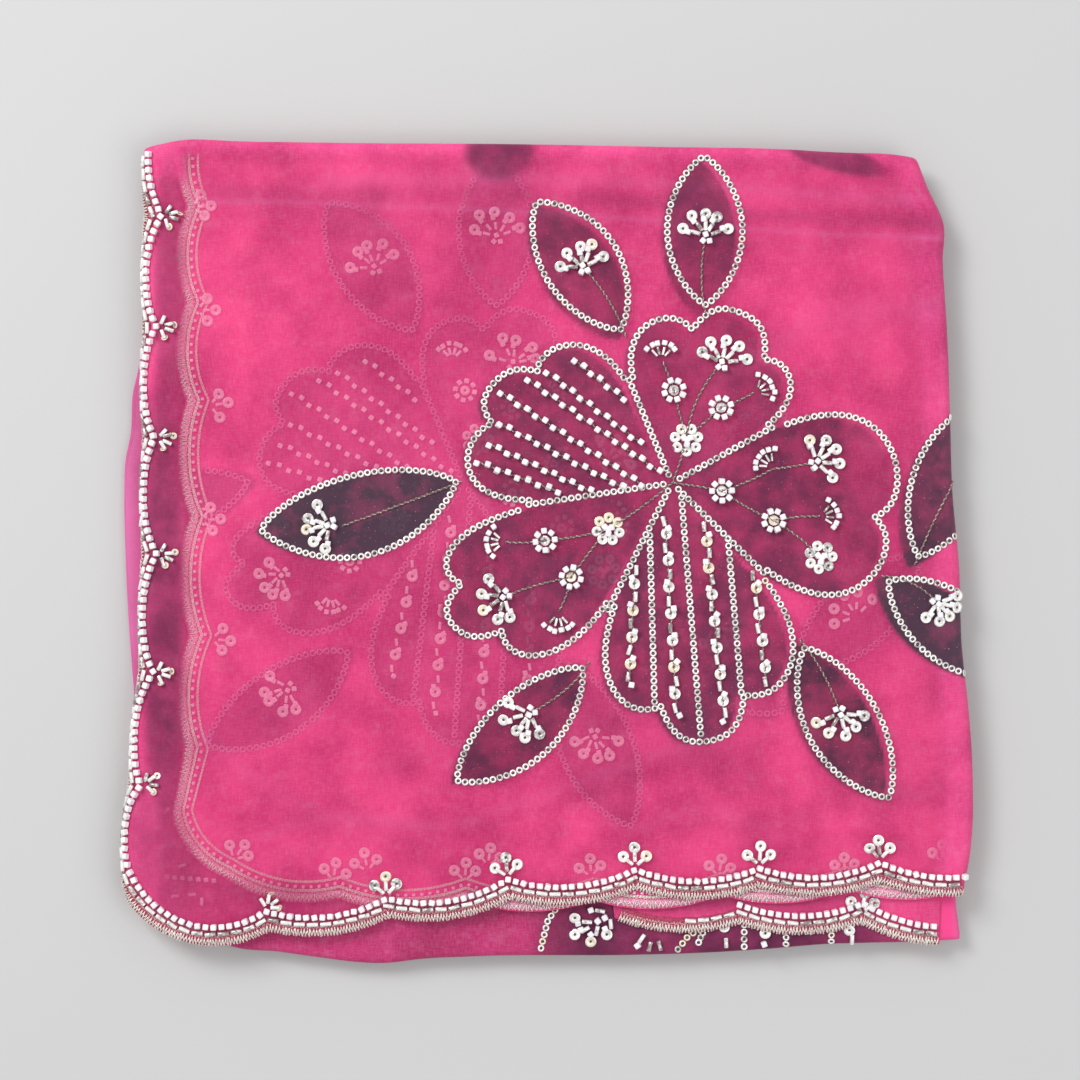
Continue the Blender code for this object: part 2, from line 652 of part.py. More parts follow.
def plate(name, layer, centre, heading_deg, discs, top, rays, material):
    """A small raised piece: the outline of several discs, seen from a point among them, given a height."""
    angle = math.radians(heading_deg)
    forward = np.array([math.cos(angle), math.sin(angle)])
    sideways = np.array([-forward[1], forward[0]])
    flat = []
    for ray in np.linspace(0, 2 * math.pi, rays, endpoint=False):
        d = np.array([math.cos(ray), math.sin(ray)])
        reach = 0.4
        for on, off, radius in discs:
            c = np.array([on, off])
            inside = radius**2 - (c @ c - (c @ d) ** 2)
            if inside > 0:
                reach = max(reach, c @ d + math.sqrt(inside))
        flat.append(centre + forward * d[0] * reach + sideways * d[1] * reach)
    flat = np.array(flat)
    hub = np.array([centre])
    under, over = place(layer, flat, SEAT), place(layer, flat, top)
    points = np.concatenate([under, over, place(layer, hub, SEAT), place(layer, hub, top)])
    faces = []
    for k in range(rays):
        j = (k + 1) % rays
        faces.append([k, j, rays + j, rays + k])
        faces.append([j, k, 2 * rays])
        faces.append([rays + k, rays + j, 2 * rays + 1])
    return mesh_object(name, points, faces, material)


def evenly(line, spacing, closed=False):
    """The line again with its points evenly spaced, about that far apart."""
    line = np.asarray(line, float)
    if closed:
        line = np.concatenate([line, line[:1]])
    along = np.concatenate([[0], np.cumsum(np.linalg.norm(np.diff(line, axis=0), axis=1))])
    count = max(3, round(along[-1] / spacing) + 1)
    at = np.linspace(0, along[-1], count)
    even = np.stack([np.interp(at, along, line[:, k]) for k in range(2)], axis=1)
    return even[:-1] if closed else even


def petal_line(k):
    """A petal's head in polar form, with u = -1 to 1 across its sector:
    r = reach (1 + lean u) (1 + rise) (1 - |u| ** fall_power) ** fall_root, less the notches."""
    first, last = math.radians(PETALS["from_deg"][k]), math.radians(PETALS["to_deg"][k])
    middle, half = (first + last) / 2, (last - first) / 2
    u = np.linspace(-0.998, 0.998, 1601)
    fall = (1 - np.abs(u) ** PETALS["fall_power"][k]) ** PETALS["fall_root"][k]
    notches = sorted({PETALS["notch_1"][k], PETALS["notch_2"][k]})
    rise = PETALS["middle_rise"][k] * np.exp(-(((u - np.mean(notches)) / MIDDLE_SPREAD) ** 4))
    r = PETALS["reach"][k] * (1 + PETALS["lean"][k] * u) * (1 + rise) * fall
    for notch in notches:
        r = r * (1 - NOTCH_DEPTH * np.exp(-np.abs(u - notch) / NOTCH_WIDTH))
    a = middle + half * u
    from_spoke = r * np.sin(np.minimum(a - first, last - a))
    line = np.stack([FLOWER[0] + r * np.cos(a), FLOWER[1] + r * np.sin(a)], axis=1)
    return line[from_spoke > SPOKE_CLEARANCE]


def leaf_line(k):
    """A leaf from base to tip and back. At a = 0 to 1 its width is (4 a (1 - a)) ** 0.8 of the most."""
    base = np.array([LEAVES["base_x"][k], LEAVES["base_y"][k]])
    tip = np.array([LEAVES["tip_x"][k], LEAVES["tip_y"][k]])
    axis = tip - base
    length = np.linalg.norm(axis)
    axis = axis / length
    side = np.array([-axis[1], axis[0]])
    a = np.linspace(0, 1, 121)
    bow = LEAVES["bow"][k] * 4 * a * (1 - a)
    half = LEAVES["width"][k] / 2 * (4 * a * (1 - a)) ** 0.8
    middle = base + np.outer(LEAF_GAP + a * (length - LEAF_GAP), axis)
    there, back = middle + np.outer(bow + half, side), middle + np.outer(bow - half, side)
    return np.concatenate([there, back[::-1][1:-1]])


def flower(layer, parent):
    """Sequin lines along the spokes, and round the petals and leaves. A leaf that meets a fold is cut."""
    silver = trim_material("sequin_line", SILVER)
    for k, name in enumerate(SPOKES["name"]):
        a = math.radians(SPOKES["angle_deg"][k])
        ends = np.array([SPOKE_FROM, SPOKES["length"][k]])
        line = evenly(np.array(FLOWER) + np.outer(ends, (math.cos(a), math.sin(a))), LINE_SPACING)
        ridge(f"spoke_{name}", layer, line, SEQUIN_LINE, silver).parent = parent
    for k, name in enumerate(PETALS["name"]):
        line = evenly(petal_line(k), LINE_SPACING)
        ridge(f"petal_line_{name}", layer, line, SEQUIN_LINE, silver).parent = parent
    inside = on_top_layer(layer)
    for k, name in enumerate(LEAVES["name"]):
        line = leaf_line(k)
        whole = all(inside(p) for p in line)
        if not whole:
            start = next(i for i, p in enumerate(line) if not inside(p))
            line = np.roll(line, -start, axis=0)
            line = clipped(line, lambda p: inside(p + np.array([1.6, 0])))
        line = evenly(line, LINE_SPACING, closed=whole)
        ridge(f"leaf_line_{name}", layer, line, SEQUIN_LINE, silver, closed=whole).parent = parent


def bead_sprigs(layer, parent):
    """Fans of five sequins on bugle stalks, as one plate each."""
    white = trim_material("sprig_beads", BEAD_WHITE)
    for k in range(len(SPRIGS["x"])):
        size = SPRIGS["size"][k]
        discs = [(0.0, 0.0, 0.28 * size)]
        for lean in (-100, -50, 0, 50, 100):
            a = math.radians(lean)
            discs.append((0.72 * size * math.cos(a), 0.72 * size * math.sin(a), 0.27 * size))
            discs.append((0.36 * size * math.cos(a), 0.36 * size * math.sin(a), 0.16 * size))
        centre = np.array([SPRIGS["x"][k], SPRIGS["y"][k]])
        made = plate(f"sprig_{k + 1}", layer, centre, SPRIGS["heading_deg"][k], discs, SPRIG_TOP, 30, white)
        made.parent = parent


def fleurs(layer, parent):
    """Three sequins that stand inwards from each cusp of the top layer's border."""
    silver = trim_material("fleur_sequins", SILVER)
    cusps = np.stack([TOP_CUSPS["x"], TOP_CUSPS["y"]], axis=1)
    for k in range(1, len(cusps) - 1):
        chord = cusps[k + 1] - cusps[k - 1]
        inwards = np.array([-chord[1], chord[0]]) / np.linalg.norm(chord)
        centre = cusps[k] + inwards * (1.6 + FLEUR_SIZE)
        heading = math.degrees(math.atan2(inwards[1], inwards[0]))
        discs = [(2.4, 0.0, 2.1), (0.4, 3.0, 2.1), (0.4, -3.0, 2.1), (-2.4, 0.0, 1.2)]
        plate(f"fleur_{k}", layer, centre, heading, discs, FLEUR_TOP, 20, silver).parent = parent


def border(layer, name, cusps, rows, corner, parent, inside):
    """The rows of a hem's border, each a ridge that follows the scallops."""
    for row, offset, shape, colour in rows:
        line = clipped(scallops(cusps, offset, corner), inside)
        ridge(f"{name}_{row}", layer, line, shape, trim_material(row, colour), closed=False).parent = parent


def core_reach(x, y, fold):
    """How far the core reaches from the middle on each side at a point, for one of its folds."""
    inset = {side: CORE_INSET[side] + CORE_FOLDS[side][fold] for side in CORE_INSET}
    right = smooth_lookup(FOURTH_RIGHT_FOLD, "y", "x", y) - inset["right"]
    left = -smooth_lookup(CORE_LEFT, "y", "x", y) - inset["left"]
    top = smooth_lookup(TOP_TOP_FOLD, "x", "y", x) - inset["top"]
    bottom = -smooth_lookup(FOURTH_BOTTOM_FOLD, "x", "y", x) - inset["bottom"]
    return np.where(x > 0, right, left), np.where(y > 0, top, bottom)


def core_ring(fold, groove):
    """The core's outline for one fold, drawn in by the groove between folds."""
    angles = np.linspace(0, 2 * math.pi, CORE_SIDES, endpoint=False)
    c, s = np.cos(angles), np.sin(angles)
    reach = np.full(CORE_SIDES, 100.0)
    for _ in range(40):
        across, along = core_reach(reach * c, reach * s, fold)
        sum_of_powers = (np.abs(c) / (across - groove)) ** CORE_CORNER_POWER
        sum_of_powers += (np.abs(s) / (along - groove)) ** CORE_CORNER_POWER
        reach = 0.5 * reach + 0.5 * sum_of_powers ** (-1 / CORE_CORNER_POWER)
    return np.stack([reach * c, reach * s], axis=1)


def folded_core(parent):
    """The hidden layers as one solid: rings up its layered side, then rings across its top."""
    folds = len(CORE_FOLDS["left"])
    rings = []
    for fold in range(folds):
        for fraction in FOLD_FRACTIONS:
            groove = CORE_GROOVE * (1 - math.sqrt(1 - (2 * fraction - 1) ** 2))
            ring = core_ring(fold, groove)
            height = CORE_HEIGHT + swell(ring[:, 0], ring[:, 1])
            share = (fold + fraction) / folds
            first, last = not rings, fold == folds - 1 and fraction == FOLD_FRACTIONS[-1]
            z = height * (0 if first else 1 if last else share)
            rings.append(np.column_stack([ring, z]))
    rim = rings[-1][:, :2]
    for scale in CORE_RINGS:
        ring = rim * scale
        rings.append(np.column_stack([ring, CORE_HEIGHT + swell(ring[:, 0], ring[:, 1])]))
    points = np.concatenate(rings)
    faces = []
    for k in range(len(rings) - 1):
        for i in range(CORE_SIDES):
            j = (i + 1) % CORE_SIDES
            here, then = k * CORE_SIDES, (k + 1) * CORE_SIDES
            faces.append([here + i, here + j, then + j, then + i])
    faces.append(list(range(CORE_SIDES))[::-1])
    last = (len(rings) - 1) * CORE_SIDES
    hub = np.array([[0.0, 0.0, CORE_HEIGHT + float(swell(np.zeros(1), np.zeros(1))[0])]])
    points = np.concatenate([points, hub])
    for i in range(CORE_SIDES):
        faces.append([last + i, last + (i + 1) % CORE_SIDES, len(points) - 1])
    mesh_object("folded_core", points, faces, cloth_material("core", DEEP_PINK)).parent = parent


def principled(name, colour, roughness, metallic):
    material = bpy.data.materials.get(name) or bpy.data.materials.new(name)
    material.use_nodes = True
    shader = material.node_tree.nodes["Principled BSDF"]
    shader.inputs["Base Color"].default_value = (*colour, 1)
    shader.inputs["Roughness"].default_value = roughness
    shader.inputs["Metallic"].default_value = metallic
    return material


def cloth_material(name, colour):
    return principled(f"organza_{name}", colour, 0.55, 0.0)


def trim_material(name, colour):
    return principled(f"trim_{name}", colour, 0.3, 0.6)


def mesh_object(name, points, faces, material):
    """A mesh object from points in millimetres. Faces that meet at a shallow angle are shaded smooth."""
    mesh = bpy.data.meshes.new(name)
    mesh.from_pydata((np.asarray(points) * METRES).tolist(), [], faces)
    work = bmesh.new()
    work.from_mesh(mesh)
    bmesh.ops.triangulate(work, faces=work.faces[:])
    work.to_mesh(mesh)
    work.free()
    mesh.materials.append(material)
    mesh.shade_smooth()
    mesh.set_sharp_from_angle(angle=math.radians(40))
    obj = bpy.data.objects.new(name, mesh)
    parts.objects.link(obj)
    return obj


def build():
    """The whole pack, under one empty that centres it over the origin."""
    root = bpy.data.objects.new("pack_centre", None)
    parts.objects.link(root)
    root.location = (-PACK_CENTRE[0] * METRES, -PACK_CENTRE[1] * METRES, 0)
    folded_core(root)
    fourth, third, second, top = layer_fourth(), layer_third(), layer_plain("second"), layer_top()
    cloth_wall("fourth_layer", fourth, fourth_outline(fourth), HIDDEN_SPACING, DEEP_PINK).parent = root
    cloth_wall("third_layer", third, third_outline(third), HIDDEN_SPACING, DEEP_PINK).parent = root
    cloth_wall("second_layer", second, second_outline(), HIDDEN_SPACING, PINK).parent = root
    cloth_wall("top_layer", top, top_outline(top), TOP_SPACING, PINK).parent = root
    rows = (
        ("zari_edging", ZARI_OFFSET, ZARI_BAND, SILVER),
        ("bugle_row", BUGLE_OFFSET, BUGLE_ROW, SILVER),
        ("bead_row", 0.0, BEAD_ROW, BEAD_WHITE),
    )
    near_end = on_top_layer(top)
    border(top, "top", TOP_CUSPS, rows, TOP_CORNER, root, lambda p: near_end(p + 1.8))
    shown = lambda p: 26.0 <= p[0] <= THIRD_RIGHT - 0.6
    border(third, "third", THIRD_CUSPS, rows[:2], None, root, shown)
    flower(top, root)
    bead_sprigs(top, root)
    fleurs(top, root)


for old in list(bpy.data.objects):
    bpy.data.objects.remove(old)
parts = bpy.data.collections.new("folded_stole")
bpy.context.scene.collection.children.link(parts)
build()
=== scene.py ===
import math

import bpy
import numpy as np
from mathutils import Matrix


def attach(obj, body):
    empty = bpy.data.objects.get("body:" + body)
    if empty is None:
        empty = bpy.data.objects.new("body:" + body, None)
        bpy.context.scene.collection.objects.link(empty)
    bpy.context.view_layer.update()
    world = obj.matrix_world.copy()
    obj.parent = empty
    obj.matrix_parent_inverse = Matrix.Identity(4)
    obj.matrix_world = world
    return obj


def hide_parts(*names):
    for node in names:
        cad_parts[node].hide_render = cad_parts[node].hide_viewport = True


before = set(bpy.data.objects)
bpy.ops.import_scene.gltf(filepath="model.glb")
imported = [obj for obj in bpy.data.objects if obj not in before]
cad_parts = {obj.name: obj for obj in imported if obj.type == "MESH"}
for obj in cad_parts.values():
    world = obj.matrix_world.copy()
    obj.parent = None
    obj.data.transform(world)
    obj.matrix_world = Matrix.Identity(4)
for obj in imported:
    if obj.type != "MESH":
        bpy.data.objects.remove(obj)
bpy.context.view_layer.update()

# A folded dupatta stole in beaded organza. Lengths are in millimetres on the flat cloth or in the
# pack, and become metres when a mesh is written.
chance = np.random.default_rng(41)

# The folded pack: how high each layer lies, and how the whole pack is fullest in its middle.
pack = {
    "shift": (0.305, -0.05, 0.0),
    "level": {"fourth": 9.2, "third": 10.8, "second": 12.4, "top": 14.0},
    "halfWidth": 154.5, "halfDepth": 149.0, "rimDrop": 1.5, "rimPower": 4,
    "coreHeight": 7.6,
}

# Where the folds and edges reach in plan, as (position, reach) pairs in two rows.
reach = {
    "topRight": ((-160, -118, -111.5, -100, -78.5, -57, -35, -3, 19, 51, 73, 91, 105, 118, 132, 142),
                 (150.2, 151.4, 152.7, 153.8, 153.8, 152.4, 150.0, 148.8, 146.7, 145.6, 144.9, 143.9,
                  143.0, 143.4, 137.4, 133.6)),
    "topTop": ((-160, -143, -132, -110, -67, -13, 41, 84, 105, 127, 134, 150),
               (143.5, 146.4, 148.6, 148.2, 147.6, 147.2, 146.2, 145.4, 144.2, 143.2, 142.0, 138.0)),
    "topLeft": ((-160, -110, -84, -63, -43, 0, 150),
                (-147.8, -147.2, -145.0, -143.2, -141.4, -140.3, -139.9)),
    "fourthBottom": ((-150, -121, -114, -96, -82, -58, -46, -24, 32, 54, 84, 99, 114, 139, 152),
                     (-134.0, -140.4, -142.8, -144.8, -146.8, -148.8, -147.4, -146.3, -145.8, -145.2,
                      -143.3, -142.0, -141.5, -140.8, -140.0)),
    "fourthRight": ((-150, -141, -127, -112, -60, 0, 60, 110, 128, 145),
                    (150.4, 150.0, 148.4, 148.4, 148.0, 144.4, 141.6, 139.4, 135.0, 128.0)),
    "coreLeft": ((-150, -134, -120, -100, -78, -69, -53, -43, -22, -3, 22, 33, 43, 59, 64, 80, 120, 150),
                 (-118.0, -128.0, -139.0, -148.2, -150.0, -149.8, -150.2, -150.8, -152.2, -153.2,
                  -153.6, -153.0, -150.8, -149.6, -148.4, -146.0, -143.0, -139.0)),
}

# The scalloped hems: cusps of the bead row, and the depth of the arcs between them.
hems = {
    "depth": 4.4, "clothEdge": 6.6,
    "top": {"x": (-138.5, -138.4, -140.1, -140.6, -140.0, -141.2, -145.6,
                  -101.1, -57.4, -13.9, 31.9, 76.5, 119.9, 164.3),
            "y": (163.0, 121.2, 81.3, 41.2, -0.5, -43.0, -83.7,
                  -128.9, -124.3, -117.5, -113.9, -113.4, -111.4, -113.6),
            "corner": 6, "cornerDepth": 27.0},
    "second": {"x": (-122.0, -122.4, -122.8, -122.6, -121.4, -121.6, -122.8,
                     -113.0, -74.5, -29.0, 17.0, 63.0, 108.0, 153.0),
               "y": (158.0, 124.7, 90.3, 54.9, 13.1, -29.7, -71.1,
                     -111.5, -118.0, -118.5, -118.5, -116.5, -114.5, -114.0),
               "corner": 6, "cornerDepth": 10.8},
    "third": {"x": (-154.0, -109.5, -65.0, -20.0, 24.7, 69.5, 114.3, 157.0),
              "y": (-116.0, -117.0, -118.5, -121.0, -125.0, -126.9, -126.5, -133.5),
              "corner": None, "cornerDepth": 0.0},
}

# Creases of a layer, each as centre, direction, half length, half width and height. The first seven of
# the top layer are the ones that its solid has; the others are shallower.
creases = {
    "top": ((30, 115, -1.5, 105, 5.0, 0.70), (-20, 134, 0.5, 90, 4.5, 0.40), (75, 92, 3, 62, 6.5, 0.45),
            (-40, -88, 62, 36, 5.5, 0.55), (52, -80, -42, 30, 5.0, 0.60), (105, -70, 74, 40, 6.5, 0.50),
            (-95, 10, 84, 60, 8.0, 0.40),
            (60, 122, 1, 75, 1.6, 0.35), (-70, 121, -2, 50, 1.8, -0.25), (20, 104, 2, 90, 2.6, -0.25),
            (-20, -60, 28, 60, 3.0, 0.30), (-75, -62, 25, 40, 3.4, 0.30), (30, -92, 12, 34, 2.4, 0.25),
            (86, -98, 158, 30, 2.6, 0.28), (-62, -104, -14, 30, 2.8, 0.25), (120, 40, 86, 46, 3.2, -0.25),
            (-110, 90, 12, 24, 3.6, -0.22), (-100, -84, 47, 30, 3.0, 0.28), (10, -108, -6, 60, 2.2, 0.22)),
    "second": ((-110, 40, 88, 60, 5.0, 0.35), (-60, -100, 20, 30, 4.0, 0.30), (40, 60, 10, 60, 6.0, 0.30)),
    "third": ((80, -118, 4, 50, 4.0, 0.30),),
    "fourth": ((-60, -134, -3, 40, 3.0, 0.35), (40, -136, 2, 50, 2.6, -0.30), (110, -132, 4, 34, 3.2, 0.30)),
}


def smoothLookup(table, at):
    # Cubic curves through the table's values, with slopes taken from the neighbours.
    known, values = np.array(table[0], float), np.array(table[1], float)
    slopes = np.gradient(values, known)
    at = np.clip(np.asarray(at, float), known[0], known[-1])
    k = np.clip(np.searchsorted(known, at, side="right") - 1, 0, len(known) - 2)
    span = known[k + 1] - known[k]
    f = (at - known[k]) / span
    start = values[k] * (1 + 2 * f) * (1 - f) ** 2 + slopes[k] * span * f * (1 - f) ** 2
    return start + values[k + 1] * f**2 * (3 - 2 * f) + slopes[k + 1] * span * f**2 * (f - 1)


def swell(x, y):
    # Rim drop times (1 - |x/halfWidth|^4)(1 - |y/halfDepth|^4) - 1.
    across = np.clip(np.abs(x) / pack["halfWidth"], 0, 1) ** pack["rimPower"]
    along = np.clip(np.abs(y) / pack["halfDepth"], 0, 1) ** pack["rimPower"]
    return pack["rimDrop"] * ((1 - across) * (1 - along) - 1)


def creaseLift(table, x, y):
    # Each crease is a bell across its line that fades as 1 - on^2 to its ends.
    height = np.zeros_like(x)
    for cx, cy, angleDeg, halfLength, halfWidth, high in table:
        a = math.radians(angleDeg)
        dx, dy = x - cx, y - cy
        on = (dx * math.cos(a) + dy * math.sin(a)) / halfLength
        off = (dy * math.cos(a) - dx * math.sin(a) + 1.6 * np.sin(on * 4 + cx)) / halfWidth
        height = height + high * np.exp(-0.5 * off**2) * np.clip(1 - on**2, 0, 1)
    return height


def ripple(layer, x, y):
    # A few long waves across each other, under a tenth of a millimetre each.
    turn = {"top": 0.0, "second": 1.3, "third": 2.1, "fourth": 3.7}[layer]
    waves = ((0.19, 0.05, 0.09), (-0.06, 0.23, 0.08), (0.12, -0.17, 0.07), (0.31, 0.22, 0.04),
             (-0.25, 0.34, 0.04))
    drift = 90 * np.sin(0.031 * x - 0.023 * y)
    return sum(high * np.sin(a * x + b * y + turn + high * drift) for a, b, high in waves)


def bendOver(along, start, radius):
    # Past start the cloth goes round a circle: start + r sin(angle), down r (1 - cos(angle)).
    angle = np.maximum(along - start, 0) / radius
    return np.minimum(along, start) + radius * np.sin(angle), radius * (1 - np.cos(angle))


# How each layer bends over at its sides: which table, radius of the bend, and how far round it goes.
bends = {
    "top": {"right": ("topRight", 3.2, 108), "top": ("topTop", 1.8, 115), "left": ("topLeft", 5.8, 115)},
    "second": {},
    "third": {"top": ("topTop", 1.8, 108)},
    "fourth": {"bottom": ("fourthBottom", 1.9, 98), "right": ("fourthRight", 1.9, 98)},
}
# How far a hem sinks on to the layer under it, and over what width.
sink = {"top": (1.0, 12.0), "second": (0.9, 10.0), "third": (0.8, 9.0), "fourth": (0.0, 9.0)}


def bendStart(layer, side, at):
    # Distance from the middle at which a side starts to go down.
    table, radius, _ = bends[layer][side]
    edge = smoothLookup(reach[table], at)
    return edge - radius if side in ("right", "top") else -edge - (radius if side == "bottom" else 0)


def bendLength(layer, side):
    # Cloth that goes round a bend: its radius times how far round it goes.
    _, radius, turn = bends[layer][side]
    return radius * math.radians(turn)


def flatLimit(layer, side, at):
    # How far the flat cloth reaches on a side that bends.
    sign = 1 if side in ("right", "top") else -1
    return (bendStart(layer, side, at) + bendLength(layer, side)) * sign


def hemSink(layer, s, t):
    # A bell that is full at the bottom hem and past it.
    depth, width = sink[layer]
    if layer not in hems or not depth:
        return 0.0
    cusps = hems[layer]
    first = (cusps["corner"] or -1) + 1
    hemLine = np.interp(s, cusps["x"][first:], cusps["y"][first:])
    return -depth * np.exp(-(np.maximum(t - hemLine, 0) / width) ** 2)


def lay(layer, s, t):
    # A point of the flat cloth as it lies in the pack: bends at the sides, swell, creases, sunk hem.
    x, y, z = s, t, hemSink(layer, s, t)
    for side in bends[layer]:
        radius = bends[layer][side][1]
        if side in ("right", "left"):
            flip = 1 if side == "right" else -1
            x, drop = bendOver(x * flip, bendStart(layer, side, t), radius)
            x = x * flip
        else:
            flip = 1 if side == "top" else -1
            y, drop = bendOver(y * flip, bendStart(layer, side, s), radius)
            y = y * flip
        z = z - drop
    z = z + pack["level"][layer] + swell(x, y) + creaseLift(creases[layer], x, y) + ripple(layer, x, y)
    return np.stack([x, y, z], axis=-1)


def seats(layer, flat, headingDeg, lift):
    # Places on the cloth with axes along the heading, across it and out of the cloth.
    flat = np.asarray(flat, float)
    s, t, tiny = flat[:, 0], flat[:, 1], 0.05
    alongS = lay(layer, s + tiny, t) - lay(layer, s - tiny, t)
    alongT = lay(layer, s, t + tiny) - lay(layer, s, t - tiny)
    out = np.cross(alongS, alongT)
    out /= np.linalg.norm(out, axis=1)[:, None]
    a = np.radians(np.broadcast_to(headingDeg, s.shape))[:, None]
    along = alongS * np.cos(a) + alongT * np.sin(a)
    along -= out * (along * out).sum(1)[:, None]
    along /= np.linalg.norm(along, axis=1)[:, None]
    place = lay(layer, s, t) + out * np.broadcast_to(lift, s.shape)[:, None]
    return place, np.stack([along, np.cross(out, along), out], axis=1)


def meshPiece(name, points, faces, material, layerUv=None, values=None, smooth=True):
    # Points in millimetres become a mesh in metres, with its place in the mesh.
    mesh = bpy.data.meshes.new(name)
    mesh.from_pydata((np.asarray(points) + pack["shift"]) * 0.001, [], faces)
    mesh.polygons.foreach_set("use_smooth", np.full(len(mesh.polygons), smooth))
    if layerUv is not None:
        uv = mesh.uv_layers.new(name="flat")
        corners = np.empty(len(mesh.loops), np.int32)
        mesh.loops.foreach_get("vertex_index", corners)
        uv.data.foreach_set("uv", np.asarray(layerUv, np.float32)[corners].ravel())
    for key, amount in (values or {}).items():
        mesh.attributes.new(key, "FLOAT", "POINT").data.foreach_set("value", np.asarray(amount, np.float32))
    mesh.materials.append(material)
    mesh.update()
    piece = bpy.data.objects.new(name, mesh)
    bpy.context.scene.collection.objects.link(piece)
    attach(piece, "root")
    return piece


def gridFaces(rows, columns, closedRows=False, closedColumns=False):
    # Quads of a grid of points in row order, joined round where a direction is closed.
    r, c = np.arange(rows if closedRows else rows - 1), np.arange(columns if closedColumns else columns - 1)
    r, c = np.meshgrid(r, c, indexing="ij")
    down, side = (r + 1) % rows, (c + 1) % columns
    corners = [r * columns + c, r * columns + side, down * columns + side, down * columns + c]
    return np.stack(corners, -1).reshape(-1, 4)


# Shader maths: a wire is a socket whose sums and products add Math nodes.
class Wire:
    def __init__(self, socket):
        self.socket = socket

    def math(self, operation, *others):
        values = dict(enumerate((self, *others)))
        return addNode(self.socket.id_data, "ShaderNodeMath", {"operation": operation}, values)

    def __add__(self, other):
        return self.math("ADD", other)

    def __sub__(self, other):
        return self.math("SUBTRACT", other)

    def __mul__(self, other):
        return self.math("MULTIPLY", other)

    def __rsub__(self, other):
        return (self * -1.0).math("ADD", other)

    __radd__, __rmul__ = __add__, __mul__


def addNode(tree, kind, settings=None, values=None, out=0):
    # Any node: its settings first, then numbers or wires for its sockets.
    node = tree.nodes.new(kind)
    for key, value in (settings or {}).items():
        setattr(node, key, value)
    for key, value in (values or {}).items():
        if isinstance(value, Wire):
            tree.links.new(value.socket, node.inputs[key])
        else:
            node.inputs[key].default_value = value
    return Wire(node.outputs[out])


def newFinish(name, **constants):
    # A material whose shader has its constants set on its own sockets.
    made = bpy.data.materials.new(name)
    made.use_nodes = True
    tree = made.node_tree
    shader = tree.nodes["Principled BSDF"]
    for key, value in constants.items():
        shader.inputs[key].default_value = value
    return made, tree, shader


def attributeOf(tree, name):
    # A number that the mesh holds at each of its points.
    return addNode(tree, "ShaderNodeAttribute", {"attribute_name": name}, None, 2)


def mixColour(tree, share, first, second):
    # first (1 - share) + second share.
    return addNode(tree, "ShaderNodeMix", {"data_type": "RGBA"}, {0: share, 6: first, 7: second}, 2)


def noiseAt(tree, where, scale, detail=3.0, rough=0.5, stretch=(1, 1, 1)):
    # Noise on a stretched copy of the coordinates: 0 to 1.
    moved = addNode(tree, "ShaderNodeMapping", None, {"Vector": where, "Scale": stretch})
    return addNode(tree, "ShaderNodeTexNoise", None,
                   {"Vector": moved, "Scale": scale, "Detail": detail, "Roughness": rough})


def stepUp(tree, value, low, high):
    # A smooth step from 0 at low to 1 at high.
    return addNode(tree, "ShaderNodeMapRange", {"interpolation_type": "SMOOTHSTEP"},
                   {"Value": value, "From Min": low, "From Max": high})


# Organza: pinks of each layer, how much each hides, the dyed plum of the flower, and a pale pink that is
# painted highlight.
organza = {
    "top": {"deep": (0.60, 0.020, 0.160, 1), "bright": (0.92, 0.066, 0.275, 1),
            "hides": 0.50, "dyeHides": 0.38, "printAndShadeHides": 0.50},
    "second": {"deep": (0.70, 0.034, 0.190, 1), "bright": (0.95, 0.080, 0.310, 1)},
    "third": {"deep": (0.52, 0.018, 0.130, 1), "bright": (0.82, 0.050, 0.230, 1)},
    "lower": {"deep": (0.36, 0.012, 0.095, 1), "bright": (0.58, 0.028, 0.170, 1)},
    "wine": (0.22, 0.008, 0.052, 1), "violet": (0.085, 0.010, 0.048, 1), "charcoal": (0.066, 0.033, 0.058, 1),
    "haze": (1.0, 0.42, 0.62, 1), "paintedHighlight": (0.74, 0.17, 0.42, 1),
    "cloth": {"Roughness": 0.62, "Sheen Weight": 0.30, "Sheen Roughness": 0.45,
              "Sheen Tint": (1.0, 0.55, 0.75, 1), "Specular IOR Level": 0.25},
}


